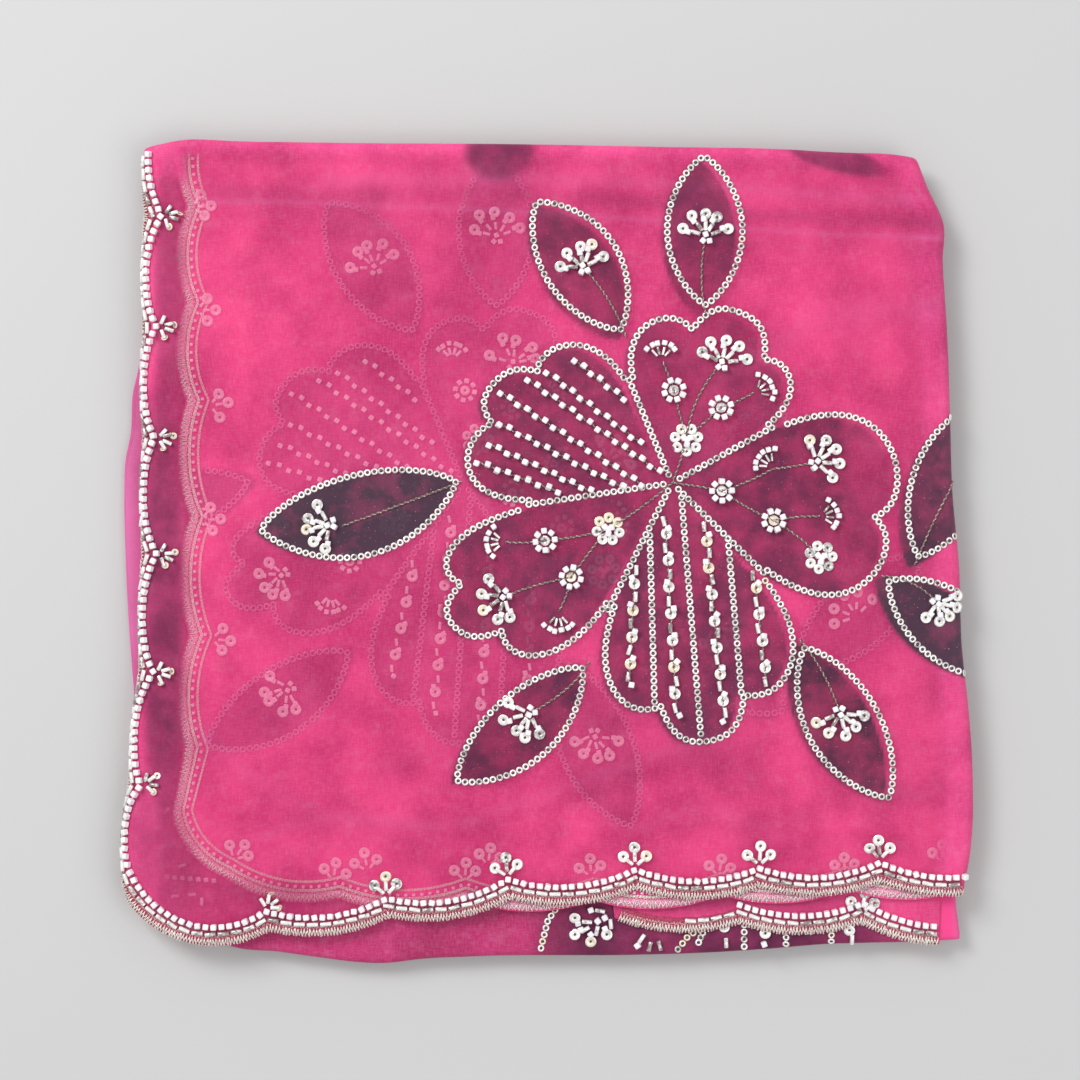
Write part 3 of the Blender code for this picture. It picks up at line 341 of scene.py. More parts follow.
def organzaFinish(name, pinks, sheer):
    # Cloudy pink cloth with a fine warp and weft, dyed plum where the print attribute says so.
    made, tree, shader = newFinish(name, **organza["cloth"])
    where = addNode(tree, "ShaderNodeUVMap", {"uv_map": "flat"})
    clouds = noiseAt(tree, where, 1.9, 3.0, 0.55)
    small = noiseAt(tree, where, 6.0, 2.0, 0.5)
    warp = noiseAt(tree, where, 1.0, 2.0, 0.7, (34, 210, 1))
    weft = noiseAt(tree, where, 1.0, 2.0, 0.7, (190, 30, 1))
    threads = (warp + weft) * 0.5
    dye, grey, printAndShade, paintedHighlight, fresh = (attributeOf(tree, key) for key in ("dye", "grey", "printAndShade", "paintedHighlight", "fresh"))
    cloudy = stepUp(tree, clouds * 0.6 + small * 0.4, 0.32, 0.66)
    pink = mixColour(tree, cloudy, pinks["deep"], pinks["bright"])
    pink = mixColour(tree, stepUp(tree, threads, 0.40, 0.66) * 0.13, pink, organza["haze"])
    # Painted highlight and painted shade of small crumples: lighter where the noise is high, deeper where it is
    # low.
    paintedCrumpleShade = (noiseAt(tree, where, 8.0, 5.0, 0.68, (1, 2.4, 1))
               + noiseAt(tree, where, 9.0, 5.0, 0.68, (2.6, 1, 1))) * 0.5
    pink = mixColour(tree, stepUp(tree, paintedCrumpleShade, 0.50, 0.66) * 0.10, pink, organza["haze"])
    pink = mixColour(tree, stepUp(tree, paintedCrumpleShade, 0.50, 0.36) * 0.16, pink, organza["top"]["deep"])
    pink = mixColour(tree, fresh, pink, organza["top"]["bright"])
    # Painted highlight: pale pink along folds, creases and rounded edges, where the attribute says so.
    pink = mixColour(tree, paintedHighlight * (0.55 + small * 0.6), pink, organza["paintedHighlight"])
    pool = noiseAt(tree, where, 4.2, 2.0, 0.5) * 0.6 + noiseAt(tree, where, 17.0, 3.0, 0.6) * 0.4
    pool = stepUp(tree, pool, 0.36, 0.62)
    plum = mixColour(tree, pool, organza["wine"], organza["violet"])
    plum = mixColour(tree, grey, plum, organza["charcoal"])
    dyed = dye * (0.75 + pool * 0.25 + grey * 0.10)
    colour = mixColour(tree, dyed, pink, plum)
    # Dark print blots, and painted shade in strips and along creases, turn the colour towards violet.
    colour = mixColour(tree, printAndShade * (0.75 + pool * 0.25), colour, organza["violet"])
    # Stray metal dust, mostly on the dyed parts, painted as bright glints.
    glints = stepUp(tree, noiseAt(tree, where, 160.0, 1.0, 0.5), 0.71, 0.77)
    colour = mixColour(tree, glints * (dye * 0.55 + 0.05), colour, organza["haze"])
    tree.links.new(colour.socket, shader.inputs["Base Color"])
    if sheer:
        solid = attributeOf(tree, "solid")
        hides = pinks["hides"] + dye * pinks["dyeHides"] + printAndShade * pinks["printAndShadeHides"] + (threads - 0.5) * 0.20
        hides = hides * (1.0 - solid) + solid * 0.98
        tree.links.new(hides.socket, shader.inputs["Alpha"])
    bump = addNode(tree, "ShaderNodeBump", None, {"Strength": 0.25, "Distance": 0.0002, "Height": threads})
    tree.links.new(bump.socket, shader.inputs["Normal"])
    return made


# The flower: sequin lines along five spokes, round five petals and round seven leaves. A petal fills
# the sector between two spokes.
flower = {
    "centre": (45.1, 25.0),
    "spokeDeg": (29.0, 112.6, 188.6, 243.2, 315.5),
    "spokeLength": (41.0, 40.0, 52.0, 51.0, 46.0),
    # from, to, reach, middle rise, fall power, fall root, lean, the two notches, dye, charcoal share
    "petals": ((29.0, 112.6, 61.0, 0.09, 4.0, 0.25, 0.0, -0.42, 0.28, 0.64, 0.20),
               (112.6, 188.6, 71.0, 0.05, 4.0, 0.25, 0.14, -0.27, 0.29, 0.80, 0.30),
               (188.6, 243.2, 89.0, 0.06, 3.0, 0.30, -0.09, -0.38, 0.19, 0.82, 0.20),
               (243.2, 315.5, 87.0, 0.09, 3.0, 0.30, -0.01, -0.34, 0.26, 0.82, 0.25),
               (315.5, 389.0, 82.0, 0.0, 3.0, 0.30, 0.0, -0.05, -0.05, 0.88, 0.20)),
    "notchDepth": 0.10, "notchWidth": 0.11, "middleSpread": 0.30, "clearOfSpoke": 3.1,
    # base x, base y, tip x, tip y, width, bow, dye, charcoal share
    "leaves": ((57.1, 85.6, 56.7, 142.4, 27.0, 0.0, 0.82, 0.15),
               (28.6, 77.4, -3.4, 125.8, 27.0, -1.2, 0.84, 0.25),
               (-29.3, 26.1, -102.4, 8.1, 29.0, 3.4, 1.0, 1.0),
               (15.4, -39.3, -31.9, -81.9, 24.0, 1.6, 0.92, 0.25),
               (91.0, -31.4, 122.9, -88.0, 26.0, -1.3, 0.98, 0.40),
               (120.4, -8.4, 168.0, -44.0, 25.0, 0.0, 1.0, 0.95),
               (132.4, -4.4, 158.0, 55.0, 27.0, 0.0, 0.95, 0.70)),
    "lowerLeaf": (88.0, -44.0, 134.0, -2.0, 25.0, 0.0, 0.8),    # a leaf of the flower below, at the right
    "thinSpots": ((120, 28, 12, 22, 0, 0.5, 1.5), (104, -2, 14, 8, -20, 0.35)),    # where the dye is weaker
    "leafGap": 3.4,
    "ghostShift": (-75.0, 0.0), "ghostTurnDeg": -8.5, "printSlip": (-2.3, -1.0), "edgeBlur": 1.15,
}


def petalReach(petal, u):
    # reach (1 + lean u)(1 + rise)(1 - |u|^power)^root, less the notches, for u = -1 to 1 across the sector.
    _, _, far, rise, power, root, lean, one, two = petal[:9]
    notches = sorted({one, two})
    lift = rise * np.exp(-(((u - np.mean(notches)) / flower["middleSpread"]) ** 4))
    r = far * (1 + lean * u) * (1 + lift) * np.clip(1 - np.abs(u) ** power, 0, 1) ** root
    for notch in notches:
        r = r * (1 - flower["notchDepth"] * np.exp(-np.abs(u - notch) / flower["notchWidth"]))
    return r


def petalLine(petal):
    # The petal's reach as points round its sector, less the stretches that run beside a spoke.
    first, last = math.radians(petal[0]), math.radians(petal[1])
    u = np.linspace(-0.998, 0.998, 1601)
    a = (first + last) / 2 + (last - first) / 2 * u
    r = petalReach(petal, u)
    clear = r * np.sin(np.minimum(a - first, last - a)) > flower["clearOfSpoke"] * 0.5
    return np.stack([flower["centre"][0] + r * np.cos(a), flower["centre"][1] + r * np.sin(a)], 1)[clear]


def leafLine(leaf):
    # There and back along the midrib, at half the width times (4a(1-a))^0.8 to its sides.
    base, tip = np.array(leaf[:2]), np.array(leaf[2:4])
    length = np.linalg.norm(tip - base)
    axis = (tip - base) / length
    side = np.array([-axis[1], axis[0]])
    a = np.linspace(0, 1, 161)
    bow, half = leaf[5] * 4 * a * (1 - a), leaf[4] / 2 * (4 * a * (1 - a)) ** 0.8
    middle = base + np.outer(flower["leafGap"] + a * (length - flower["leafGap"]), axis)
    there, back = middle + np.outer(bow + half, side), middle + np.outer(bow - half, side)
    return np.concatenate([there, back[::-1][1:]])


def leafMask(leaf, s, t):
    # 1 inside a leaf's outline, less over the blurred edge, and 0 outside.
    base, tip = np.array(leaf[:2]), np.array(leaf[2:4])
    length = np.linalg.norm(tip - base)
    axis = (tip - base) / length
    on = ((s - base[0]) * axis[0] + (t - base[1]) * axis[1]) / length
    off = (t - base[1]) * axis[0] - (s - base[0]) * axis[1]
    a4 = np.clip(4 * on * (1 - on), 0, 1)
    inside = (leaf[4] / 2 * a4**0.8 - np.abs(off - leaf[5] * a4)) / flower["edgeBlur"]
    return np.clip(inside + 0.6, 0, 1) * (a4 > 0)


def printMask(s, t):
    # How dark each point is dyed, and how grey: soft inside each petal and leaf.
    dye, grey = np.zeros_like(s), np.zeros_like(s)
    x, y = s - flower["centre"][0], t - flower["centre"][1]
    r, a = np.hypot(x, y), np.degrees(np.arctan2(y, x)) % 360
    blur = flower["edgeBlur"]
    for petal in flower["petals"]:
        middle, half = (petal[0] + petal[1]) / 2, (petal[1] - petal[0]) / 2
        u = ((a - middle + 180) % 360 - 180) / half
        inside = (petalReach(petal, np.clip(u, -1, 1)) - r) / blur
        side = (1 - np.abs(u)) * math.radians(half) * r / (blur * 0.8)
        mask = np.clip(inside + 0.5, 0, 1) * np.clip(side + 0.2, 0, 1)
        mask *= 0.80 + 0.20 * np.clip(r / 40, 0, 1)
        dye, grey = np.maximum(dye, mask * petal[9]), np.where(mask > 0.02, petal[10], grey)
    for leaf in flower["leaves"]:
        mask = leafMask(leaf, s, t)
        dye, grey = np.maximum(dye, mask * leaf[6]), np.where(mask > 0.02, leaf[7], grey)
    return dye, grey


def spotMask(spots, s, t):
    # Soft spots: exp(-(distance)^(2 edge)) in a turned ellipse, sharper where edge is high.
    mask = np.zeros_like(s)
    for cx, cy, across, along, angleDeg, strength, *edge in spots:
        a = math.radians(angleDeg)
        u = ((s - cx) * math.cos(a) + (t - cy) * math.sin(a)) / across
        v = ((t - cy) * math.cos(a) - (s - cx) * math.sin(a)) / along
        mask = np.maximum(mask, strength * np.exp(-((u**2 + v**2) ** (edge[0] if edge else 1.5))))
    return mask


def lineMask(marks, s, t):
    # Soft lines t = f(s): exp(-((t - f) / width)^2), let out over 8 mm past either end.
    mask = np.zeros_like(s)
    for xs, ys, width, strength in marks:
        ends = np.clip(np.minimum(s - xs[0], xs[-1] - s) / 8 + 1, 0, 1)
        mask = mask + strength * ends * np.exp(-(((t - smoothLookup((xs, ys), s)) / width) ** 2))
    return mask


def arcs(hem, offset, steps=40):
    # Circular arcs from cusp to cusp, moved out by offset and cut where a neighbour's circle covers them.
    cusps = np.stack([hem["x"], hem["y"]], axis=1).astype(float)
    start, chord = cusps[:-1], np.diff(cusps, axis=0)
    half = np.linalg.norm(chord, axis=1) / 2
    depth = np.full(len(half), hems["depth"])
    if hem["corner"] is not None:
        depth[hem["corner"]] = hem["cornerDepth"]
    along = chord / (2 * half)[:, None]
    out = np.stack([along[:, 1], -along[:, 0]], axis=1)
    radius = (half**2 + depth**2) / (2 * depth)
    centre = start + chord / 2 - out * (radius - depth)[:, None]
    angle = np.linspace(-1, 1, steps + 1)[None] * np.arctan2(half, radius - depth)[:, None]
    big = (radius + offset)[:, None, None]
    sideways, outwards = np.sin(angle)[..., None] * along[:, None], np.cos(angle)[..., None] * out[:, None]
    points = centre[:, None] + big * (sideways + outwards)
    keep = np.ones(points.shape[:2], bool)
    covered = (radius + offset)[:, None] - 1e-6
    keep[:-1] &= np.linalg.norm(points[:-1] - centre[1:, None], axis=2) >= covered[1:]
    keep[1:] &= np.linalg.norm(points[1:] - centre[:-1, None], axis=2) >= covered[:-1]
    return points[keep]


def stationsAlong(line, shares):
    # Points of a line at shares of its length.
    line = np.asarray(line, float)
    length = np.concatenate([[0], np.cumsum(np.linalg.norm(np.diff(line, axis=0), axis=1))])
    at = np.asarray(shares) * length[-1]
    return np.stack([np.interp(at, length, line[:, k]) for k in (0, 1)], axis=1)


def evenStations(line, pitch, closed=False):
    # Evenly spaced points about a pitch apart, with the heading there in degrees.
    line = np.asarray(line, float)
    total = np.linalg.norm(np.diff(line, axis=0), axis=1).sum()
    count = max(2, round(total / pitch) + (0 if closed else 1))
    shares = np.linspace(0, 1, count, endpoint=not closed)
    step = 0.3 / total
    ahead, behind = (stationsAlong(line, np.clip(shares + way * step, 0, 1)) for way in (1, -1))
    there = ahead - behind
    return stationsAlong(line, shares), np.degrees(np.arctan2(there[:, 1], there[:, 0]))


def towards(headingDeg):
    # Unit steps (cos, sin) along headings in degrees.
    a = np.radians(headingDeg)
    return np.stack([np.cos(a), np.sin(a)], axis=-1)


def coonsSheet(bottom, right, top, left, u, v):
    # The sum of the two ruled surfaces between opposite edges, less the bilinear one through the corners.
    b, t = stationsAlong(bottom, u)[None], stationsAlong(top, u)[None]
    l, r = stationsAlong(left, v)[:, None], stationsAlong(right, v)[:, None]
    u, v = np.asarray(u)[None, :, None], np.asarray(v)[:, None, None]
    corners = (1 - v) * ((1 - u) * b[:, :1] + u * b[:, -1:]) + v * ((1 - u) * t[:, :1] + u * t[:, -1:])
    return (1 - v) * b + v * t + (1 - u) * l + u * r - corners


def sharesFor(count, fineEnd=0.0, fineStart=0.0, fineCells=12):
    # Shares from 0 to 1, with extra rows in a band at either end.
    middle = np.linspace(fineStart, 1 - fineEnd, count)
    first = np.linspace(0, fineStart, fineCells, endpoint=False) if fineStart else []
    last = np.linspace(1 - fineEnd, 1, fineCells + 1)[1:] if fineEnd else []
    return np.concatenate([first, middle, last])


def clothSheet(name, layer, edges, u, v, material, prints, printAndShadeSpots, more=None):
    # A layer as one thin surface: the flat sheet laid in the pack, with its flat place as its map.
    flat = coonsSheet(*edges, u, v)
    s, t = flat[..., 0].ravel(), flat[..., 1].ravel()
    dye, grey = prints(s, t)
    values = {"dye": dye, "grey": grey, "printAndShade": spotMask(printAndShadeSpots, s, t)}
    values.update({key: rule(s, t) for key, rule in (more or {}).items()})
    piece = meshPiece(name, lay(layer, s, t), gridFaces(len(v), len(u)), material,
                      np.stack([s, t], 1) * 0.01, values)
    a, b = flat[1:, 1:] - flat[:-1, :-1], flat[1:, :-1] - flat[:-1, 1:]
    area = 0.5 * np.abs(a[..., 0] * b[..., 1] - a[..., 1] * b[..., 0]).sum() * 1e-6
    size = (np.ptp(s) * 0.001, np.ptp(t) * 0.001)
    return piece, size, area


finishTop = organzaFinish("organzaTop", organza["top"], True)
finishSecond = organzaFinish("organzaSecond", organza["second"], False)
finishThird = organzaFinish("organzaThird", organza["third"], False)
finishLower = organzaFinish("organzaLower", organza["lower"], False)


def noPrint(s, t):
    # Plain cloth.
    return np.zeros_like(s), np.zeros_like(s)


def topPrint(s, t):
    # The print lies a little aside of its sequin lines.
    slip = flower["printSlip"]
    dye, grey = printMask(s - slip[0], t - slip[1])
    return dye * (1 - spotMask(flower["thinSpots"], s, t)), grey


def ghostTurn(x, y, way=1):
    # The flower of the second layer, about its own centre: its lower half is turned by ghostTurnDeg.
    cx, cy = np.array(flower["centre"]) + flower["ghostShift"]
    far, angle = np.hypot(x - cx, y - cy), np.arctan2(y - cy, x - cx)
    turned = way * math.radians(flower["ghostTurnDeg"]) * np.clip(-np.sin(angle) * 1.5, 0, 1)
    return cx + far * np.cos(angle + turned), cy + far * np.sin(angle + turned)


def secondPrint(s, t):
    # The same print moved and turned, and one more leaf, all paler.
    x, y = ghostTurn(s, t, -1)
    shift, leaf = flower["ghostShift"], flower["lowerLeaf"]
    dye, grey = printMask(x - shift[0], y - shift[1])
    return np.maximum(dye, leafMask(leaf, s, t) * leaf[6]) * 0.58, grey * 0.4


# The top layer.
topRight = lambda t: flatLimit("top", "right", t)
topTop = lambda s: flatLimit("top", "top", s)
turnS, turnT = bendLength("top", "right"), bendLength("top", "top")
cornerS, cornerT = 131.0, 136.0    # where the straight stretches of both folds end
quarter = np.radians(np.linspace(4, 86, 9))
endS, endT = float(topRight(cornerT)), float(topTop(cornerS))
roundCorner = np.stack([endS - turnS * (1 - np.cos(quarter)), endT - turnT * (1 - np.sin(quarter))], 1)
line = arcs(hems["top"], hems["clothEdge"])
line = line[(line[:, 0] <= topRight(line[:, 1])) & (line[:, 1] <= topTop(line[:, 0]))]
turn = int(np.argmin(np.linalg.norm(line - (-146.5, -130.0), axis=1)))
bottomEdge = np.concatenate([line[turn:], [(topRight(line[-1][1]), line[-1][1])]])
leftEdge = np.concatenate([line[: turn + 1][::-1], [(line[0][0], topTop(line[0][0]))]])
ts = np.linspace(bottomEdge[-1][1], cornerT, 80)
rightEdge = np.concatenate([np.stack([topRight(ts), ts], 1), roundCorner[:5]])
ss = np.linspace(leftEdge[-1][0], cornerS, 80)
topEdge = np.concatenate([np.stack([ss, topTop(ss)], 1), roundCorner[4:][::-1]])


def hemDistance(layer, offset, s, t):
    # How far points are from a line beside a hem: across it at the left, up or down from it at the bottom.
    x, y = arcs(hems[layer], offset).T
    turn = int(np.argmin(x + y))
    left = np.where(t > y[turn] - 3, np.abs(s - np.interp(t, y[turn::-1], x[turn::-1])), 99.0)
    bottom = np.where(s > x[turn] - 3, np.abs(t - np.interp(s, x[turn:], y[turn:])), 99.0)
    return np.minimum(left, bottom)


def topSolid(s, t):
    # Full within a few millimetres of the folds and of the rolled hem, where several layers lie together,
    # and less than none right over the zari of the layer below.
    near = [(s - topRight(t) + 17) / 6, (t - topTop(s) + 9) / 5, (-137.0 - s) / 4,
            np.minimum((t - topTop(s) + 18) / 5, (-129.0 - s) / 3)]
    solid = np.clip(np.max(near, axis=0), 0, 1)
    return np.where(solid > 0, solid, -0.45 * np.exp(-((hemDistance("second", 4.0, s, t) / 2.8) ** 2)))


# Marks of the folds that lie beneath and of the creases: pale lines of painted highlight, and darker bands of
# painted shade.
paintedCreaseHighlights = (((-119, -89, -63, -34, 32, 84, 142), (126.2, 126.0, 124.6, 123.7, 119.7, 115.4, 113.0), 1.1, 0.50),
             ((-78, -34, 25, 84, 128), (133.9, 134.2, 133.6, 129.6, 127.0), 2.6, 0.36),
             ((-30, 10, 60), (-97.0, -83.0, -66.0), 2.2, 0.26),
             ((92, 110, 132), (-58.0, -78.0, -88.0), 2.4, 0.24),
             ((-128, -90, -40), (-62.0, -90.0, -99.0), 3.0, 0.20),
             ((60, 100, 140), (60.0, 84.0, 88.0), 5.0, 0.20),
             ((-110, -80, -40), (-104.0, -96.0, -98.0), 2.0, 0.16),
             ((30, 60, 84), (-100.0, -92.0, -102.0), 2.2, 0.20))
paintedCreaseShade = (((-119, -60, 0, 84, 140), (129.6, 129.0, 128.6, 121.0, 118.6), 3.4, 0.30),
             ((-110, -40, 32, 84, 140), (121.4, 119.6, 115.4, 111.2, 108.8), 3.4, 0.12),
             ((-60, -20, 40), (-78.0, -66.0, -58.0), 5.0, 0.14),
             ((70, 100, 140), (-100.0, -92.0, -84.0), 4.0, 0.10),
             ((-30, 10, 60), (-101.5, -88.0, -71.0), 2.4, 0.12),
             ((30, 60, 84), (-105.0, -97.0, -107.0), 2.4, 0.10),
             ((-128, -90, -40), (-68.0, -96.0, -105.0), 3.0, 0.10))
# Dark print at the top edge and a few darker patches; the long strips at the left, by the bottom hem and along
# the right are painted shade.
printAndShadeTop = ((-17.0, 144.0, 12.8, 10.4, 8, 0.86, 5.0), (104.0, 141.8, 19.0, 5.0, -15, 0.76, 5.0),
            (70.0, -45.0, 10.0, 12.0, 20, 0.26), (112.0, 78.0, 9.0, 16.0, 10, 0.16),
            (60.0, -72.0, 22.0, 10.0, -30, 0.22), (20.0, 60.0, 14.0, 9.0, 40, 0.14),
            (-60.0, 112.0, 10.0, 20.0, 10, 0.20), (-33.0, 98.0, 12.0, 18.0, 24, 0.18),
            (-138.0, -20.0, 8.0, 86.0, 0, 0.80, 3.0), (-136.0, 95.0, 6.0, 44.0, 0, 0.50, 3.0),
            (-138.0, -112.0, 12.0, 34.0, 12, 0.45, 2.0), (-100.0, -122.0, 30.0, 4.0, -8, 0.30, 2.0),
            (148.0, 20.0, 32.0, 135.0, 0, 0.11, 2.0))


def topPrintAndShade(s, t):
    # Dark print blots and darker patches, painted shade in strips beside the hems and along the right side, and
    # the painted shade of the crease bands.
    return spotMask(printAndShadeTop, s, t) + lineMask(paintedCreaseShade, s, t)


topLayer, topSize, topArea = clothSheet(
    "topLayer", "top", (bottomEdge, rightEdge, topEdge, leftEdge),
    sharesFor(276, 0.026), sharesFor(256, 0.018), finishTop, topPrint, (),
    # Painted shade and painted highlight along the creases and folds.
    {"solid": topSolid, "printAndShade": topPrintAndShade, "paintedHighlight": lambda s, t: lineMask(paintedCreaseHighlights, s, t)})
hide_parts("top_layer")

# The second layer. Hidden edges end short of the folds that go round them.
foldRight, foldTop, foldClear = bends["top"]["right"][1], bends["top"]["top"][1], 0.6
hiddenRight = lambda t, depth=0.0: smoothLookup(reach["topRight"], t) - foldRight - foldClear - depth
hiddenTop = lambda s, depth=0.0: smoothLookup(reach["topTop"], s) - foldTop - foldClear - depth
line = arcs(hems["second"], hems["clothEdge"])
line = line[(line[:, 0] <= hiddenRight(line[:, 1])) & (line[:, 1] <= hiddenTop(line[:, 0]))]
turn = int(np.argmin(np.linalg.norm(line - (-126.0, -100.0), axis=1)))
bottomEdge = np.concatenate([line[turn:], [(hiddenRight(line[-1][1]), line[-1][1])]])
leftEdge = np.concatenate([line[: turn + 1][::-1], [(line[0][0], hiddenTop(line[0][0]))]])
ts, ss = np.linspace(bottomEdge[-1][1], 122.0, 60), np.linspace(leftEdge[-1][0], 122.0, 60)
rightEdge = np.concatenate([np.stack([hiddenRight(ts), ts], 1), [(128.0, 131.0)]])
topEdge = np.concatenate([np.stack([ss, hiddenTop(ss)], 1), [(128.0, 131.0)]])
secondLayer, secondSize, secondArea = clothSheet(
    "secondLayer", "second", (bottomEdge, rightEdge, topEdge, leftEdge),
    sharesFor(200), sharesFor(190), finishSecond, secondPrint, ())
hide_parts("second_layer")

# The third layer.
line = arcs(hems["third"], hems["clothEdge"])
bottomEdge = line[(line[:, 0] >= -126.0) & (line[:, 0] <= 142.0)]
bottomEdge[:, 1] = np.maximum(bottomEdge[:, 1], np.where(bottomEdge[:, 0] < 24, -120.5, -200.0))
thirdRight = lambda t: np.minimum(142.0, hiddenRight(t, 1.0))
thirdTop = lambda s: flatLimit("third", "top", s) - 0.6
ts, ss = np.linspace(bottomEdge[-1][1], 132.0, 60), np.linspace(-126.0, 124.0, 60)
rightEdge = np.concatenate([np.stack([thirdRight(ts), ts], 1), [(126.0, thirdTop(124.0) - 3)]])
topEdge = np.concatenate([np.stack([ss, thirdTop(ss)], 1), [(126.0, thirdTop(124.0) - 3)]])
leftEdge = np.array([bottomEdge[0], topEdge[0]])
# Painted shade on the third layer: a band beside its hem and a strip along its left side.
paintedShadeThird = ((60.0, -124.0, 52.0, 7.0, -4, 0.45), (-127.0, 0.0, 9.0, 140.0, 0, 0.75, 3.0))
thirdLayer, thirdSize, thirdArea = clothSheet(
    "thirdLayer", "third", (bottomEdge, rightEdge, topEdge, leftEdge),
    sharesFor(190), sharesFor(80, 0.02, 0.10, 14), finishThird, noPrint, paintedShadeThird)
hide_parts("third_layer")

# The fourth layer.
low = lambda s: flatLimit("fourth", "bottom", s)
wide = lambda t: flatLimit("fourth", "right", t)
hemPlan = lay("top", *arcs(hems["top"], 1.5).T)[:, :2]
hemPlan = hemPlan[(hemPlan[:, 0] < -119.0) & (hemPlan[:, 1] < hiddenTop(-139.0) - 2.5)][::-1]
ss = np.linspace(hemPlan[0][0] + 1.0, 143.0, 80)
turnD = bendLength("fourth", "bottom")
cornerPoint = (float(wide(-137.0)) - turnD * 0.3, float(low(146.0)) + turnD * 0.3)
bottomEdge = np.concatenate([np.stack([ss, low(ss)], 1), [cornerPoint]])
ts = np.linspace(-134.0, 128.0, 80)
rightEdge = np.concatenate([[cornerPoint], np.stack([wide(ts), ts], 1), [(122.0, hiddenTop(118.0, 1.8) - 4)]])
fourthTop = lambda s: hiddenTop(s, 1.8)
ss = np.linspace(-140.0, 118.0, 80)
topEdge = np.concatenate([np.stack([ss, fourthTop(ss)], 1), [(122.0, hiddenTop(118.0, 1.8) - 4)]])
leftEdge = np.concatenate([[bottomEdge[0]], hemPlan, [topEdge[0]]])
blotsFourth = ((24.0, -138.0, 27.0, 20.0, 0, 0.9, 3.0), (82.0, -138.0, 46.0, 18.0, 3, 0.95, 3.0),
               (-92.0, 20.0, 30.0, 60.0, 0, 0.3))
fourthLayer, fourthSize, fourthArea = clothSheet(
    "fourthLayer", "fourth", (bottomEdge, rightEdge, topEdge, leftEdge),
    sharesFor(200, 0.03), sharesFor(110, 0.0, 0.10, 40), finishLower, noPrint, blotsFourth,
    # Brighter pink at the right end, and painted highlight over the right fold.
    {"fresh": lambda s, t: np.clip((s - 134.0) / 4, 0, 1),
     "paintedHighlight": lambda s, t: np.clip((s - 146.0) / 6, 0, 0.4)})
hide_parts("fourth_layer")


# The folds below: six double layers that share one rounded side.
foldStack = {
    "left": (1.6, 0.9, 0.0, 0.8, 10.5, 11.2), "right": (1.2, 0.8, 0.0, 0.5, 2.0, 2.4),
    "bottom": (0.8, 1.2, 1.6, 1.1, 0.4, 0.8), "top": (0.0, 0.5, 1.6, 1.2, 0.6, 0.9),
    "inset": {"left": 0.0, "right": 2.6, "bottom": 2.8, "top": 2.6},
    "groove": 0.62, "cornerPower": 14, "sides": 420, "stations": 7, "rings": (0.93, 0.8, 0.6, 0.4, 0.2, 0.06),
}


def stackRing(fold, groove):
    # A rounded outline: |x/across|^14 + |y/along|^14 = 1, with slow waves in it.
    a = np.linspace(0, 2 * math.pi, foldStack["sides"], endpoint=False)
    c, s = np.cos(a), np.sin(a)
    far = np.full(len(a), 100.0)
    inset = {side: foldStack["inset"][side] + foldStack[side][fold] for side in foldStack["inset"]}
    wave = 0.35 * np.sin(5 * a + 1.7 * fold) + 0.25 * np.sin(11 * a + 2.9 * fold)
    for _ in range(40):
        x, y = far * c, far * s
        across = np.where(x > 0, smoothLookup(reach["fourthRight"], y) - inset["right"],
                          -smoothLookup(reach["coreLeft"], y) - inset["left"])
        along = np.where(y > 0, smoothLookup(reach["topTop"], x) - inset["top"],
                         -smoothLookup(reach["fourthBottom"], x) - inset["bottom"])
        power, less = foldStack["cornerPower"], groove + wave
        total = (np.abs(c) / (across - less)) ** power + (np.abs(s) / (along - less)) ** power
        far = 0.5 * far + 0.5 * total ** (-1 / power)
    return np.stack([far * c, far * s], axis=1)


folds = len(foldStack["left"])
rings = []
for fold in range(folds):
    for fraction in np.linspace(0.05, 0.95, foldStack["stations"]):
        ring = stackRing(fold, foldStack["groove"] * (1 - math.sqrt(1 - (2 * fraction - 1) ** 2)))
        height = pack["coreHeight"] + swell(ring[:, 0], ring[:, 1])
        share = (fold + fraction) / folds
        share = 0 if not rings else 1 if share > 1 - 0.06 / folds else share
        rings.append(np.column_stack([ring, height * share]))
for scale in foldStack["rings"]:
    ring = rings[folds * foldStack["stations"] - 1][:, :2] * scale
    rings.append(np.column_stack([ring, pack["coreHeight"] + swell(ring[:, 0], ring[:, 1])]))
bottomRings = [np.column_stack([rings[0][:, :2] * scale, np.zeros(foldStack["sides"])])
               for scale in foldStack["rings"][::-1]]
stackPoints = np.concatenate(bottomRings + rings)
sides = foldStack["sides"]
faces = gridFaces(len(bottomRings + rings), sides, closedColumns=True)
faces = faces.tolist() + [list(range(sides))[::-1], list(range(len(stackPoints) - sides, len(stackPoints)))]
levels = stackPoints[:, 2]
stackMap = np.stack([stackPoints[:, 0] + levels * 3, stackPoints[:, 1] + levels * 3], 1) * 0.01
plain = np.zeros(len(stackPoints))
# Painted sheen: a pale band along the stack's left side, fading away from its middle.
paintedSideSheen = np.clip((-143.0 - stackPoints[:, 0]) / 5, 0, 1)
paintedSideSheen *= np.clip(1.25 - np.abs(stackPoints[:, 1] + 5) / 90, 0, 1)
foldedStack = meshPiece("foldedStack", stackPoints, faces, finishLower, stackMap,
                        {"dye": plain, "grey": plain, "printAndShade": plain, "paintedHighlight": paintedSideSheen})
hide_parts("folded_core")


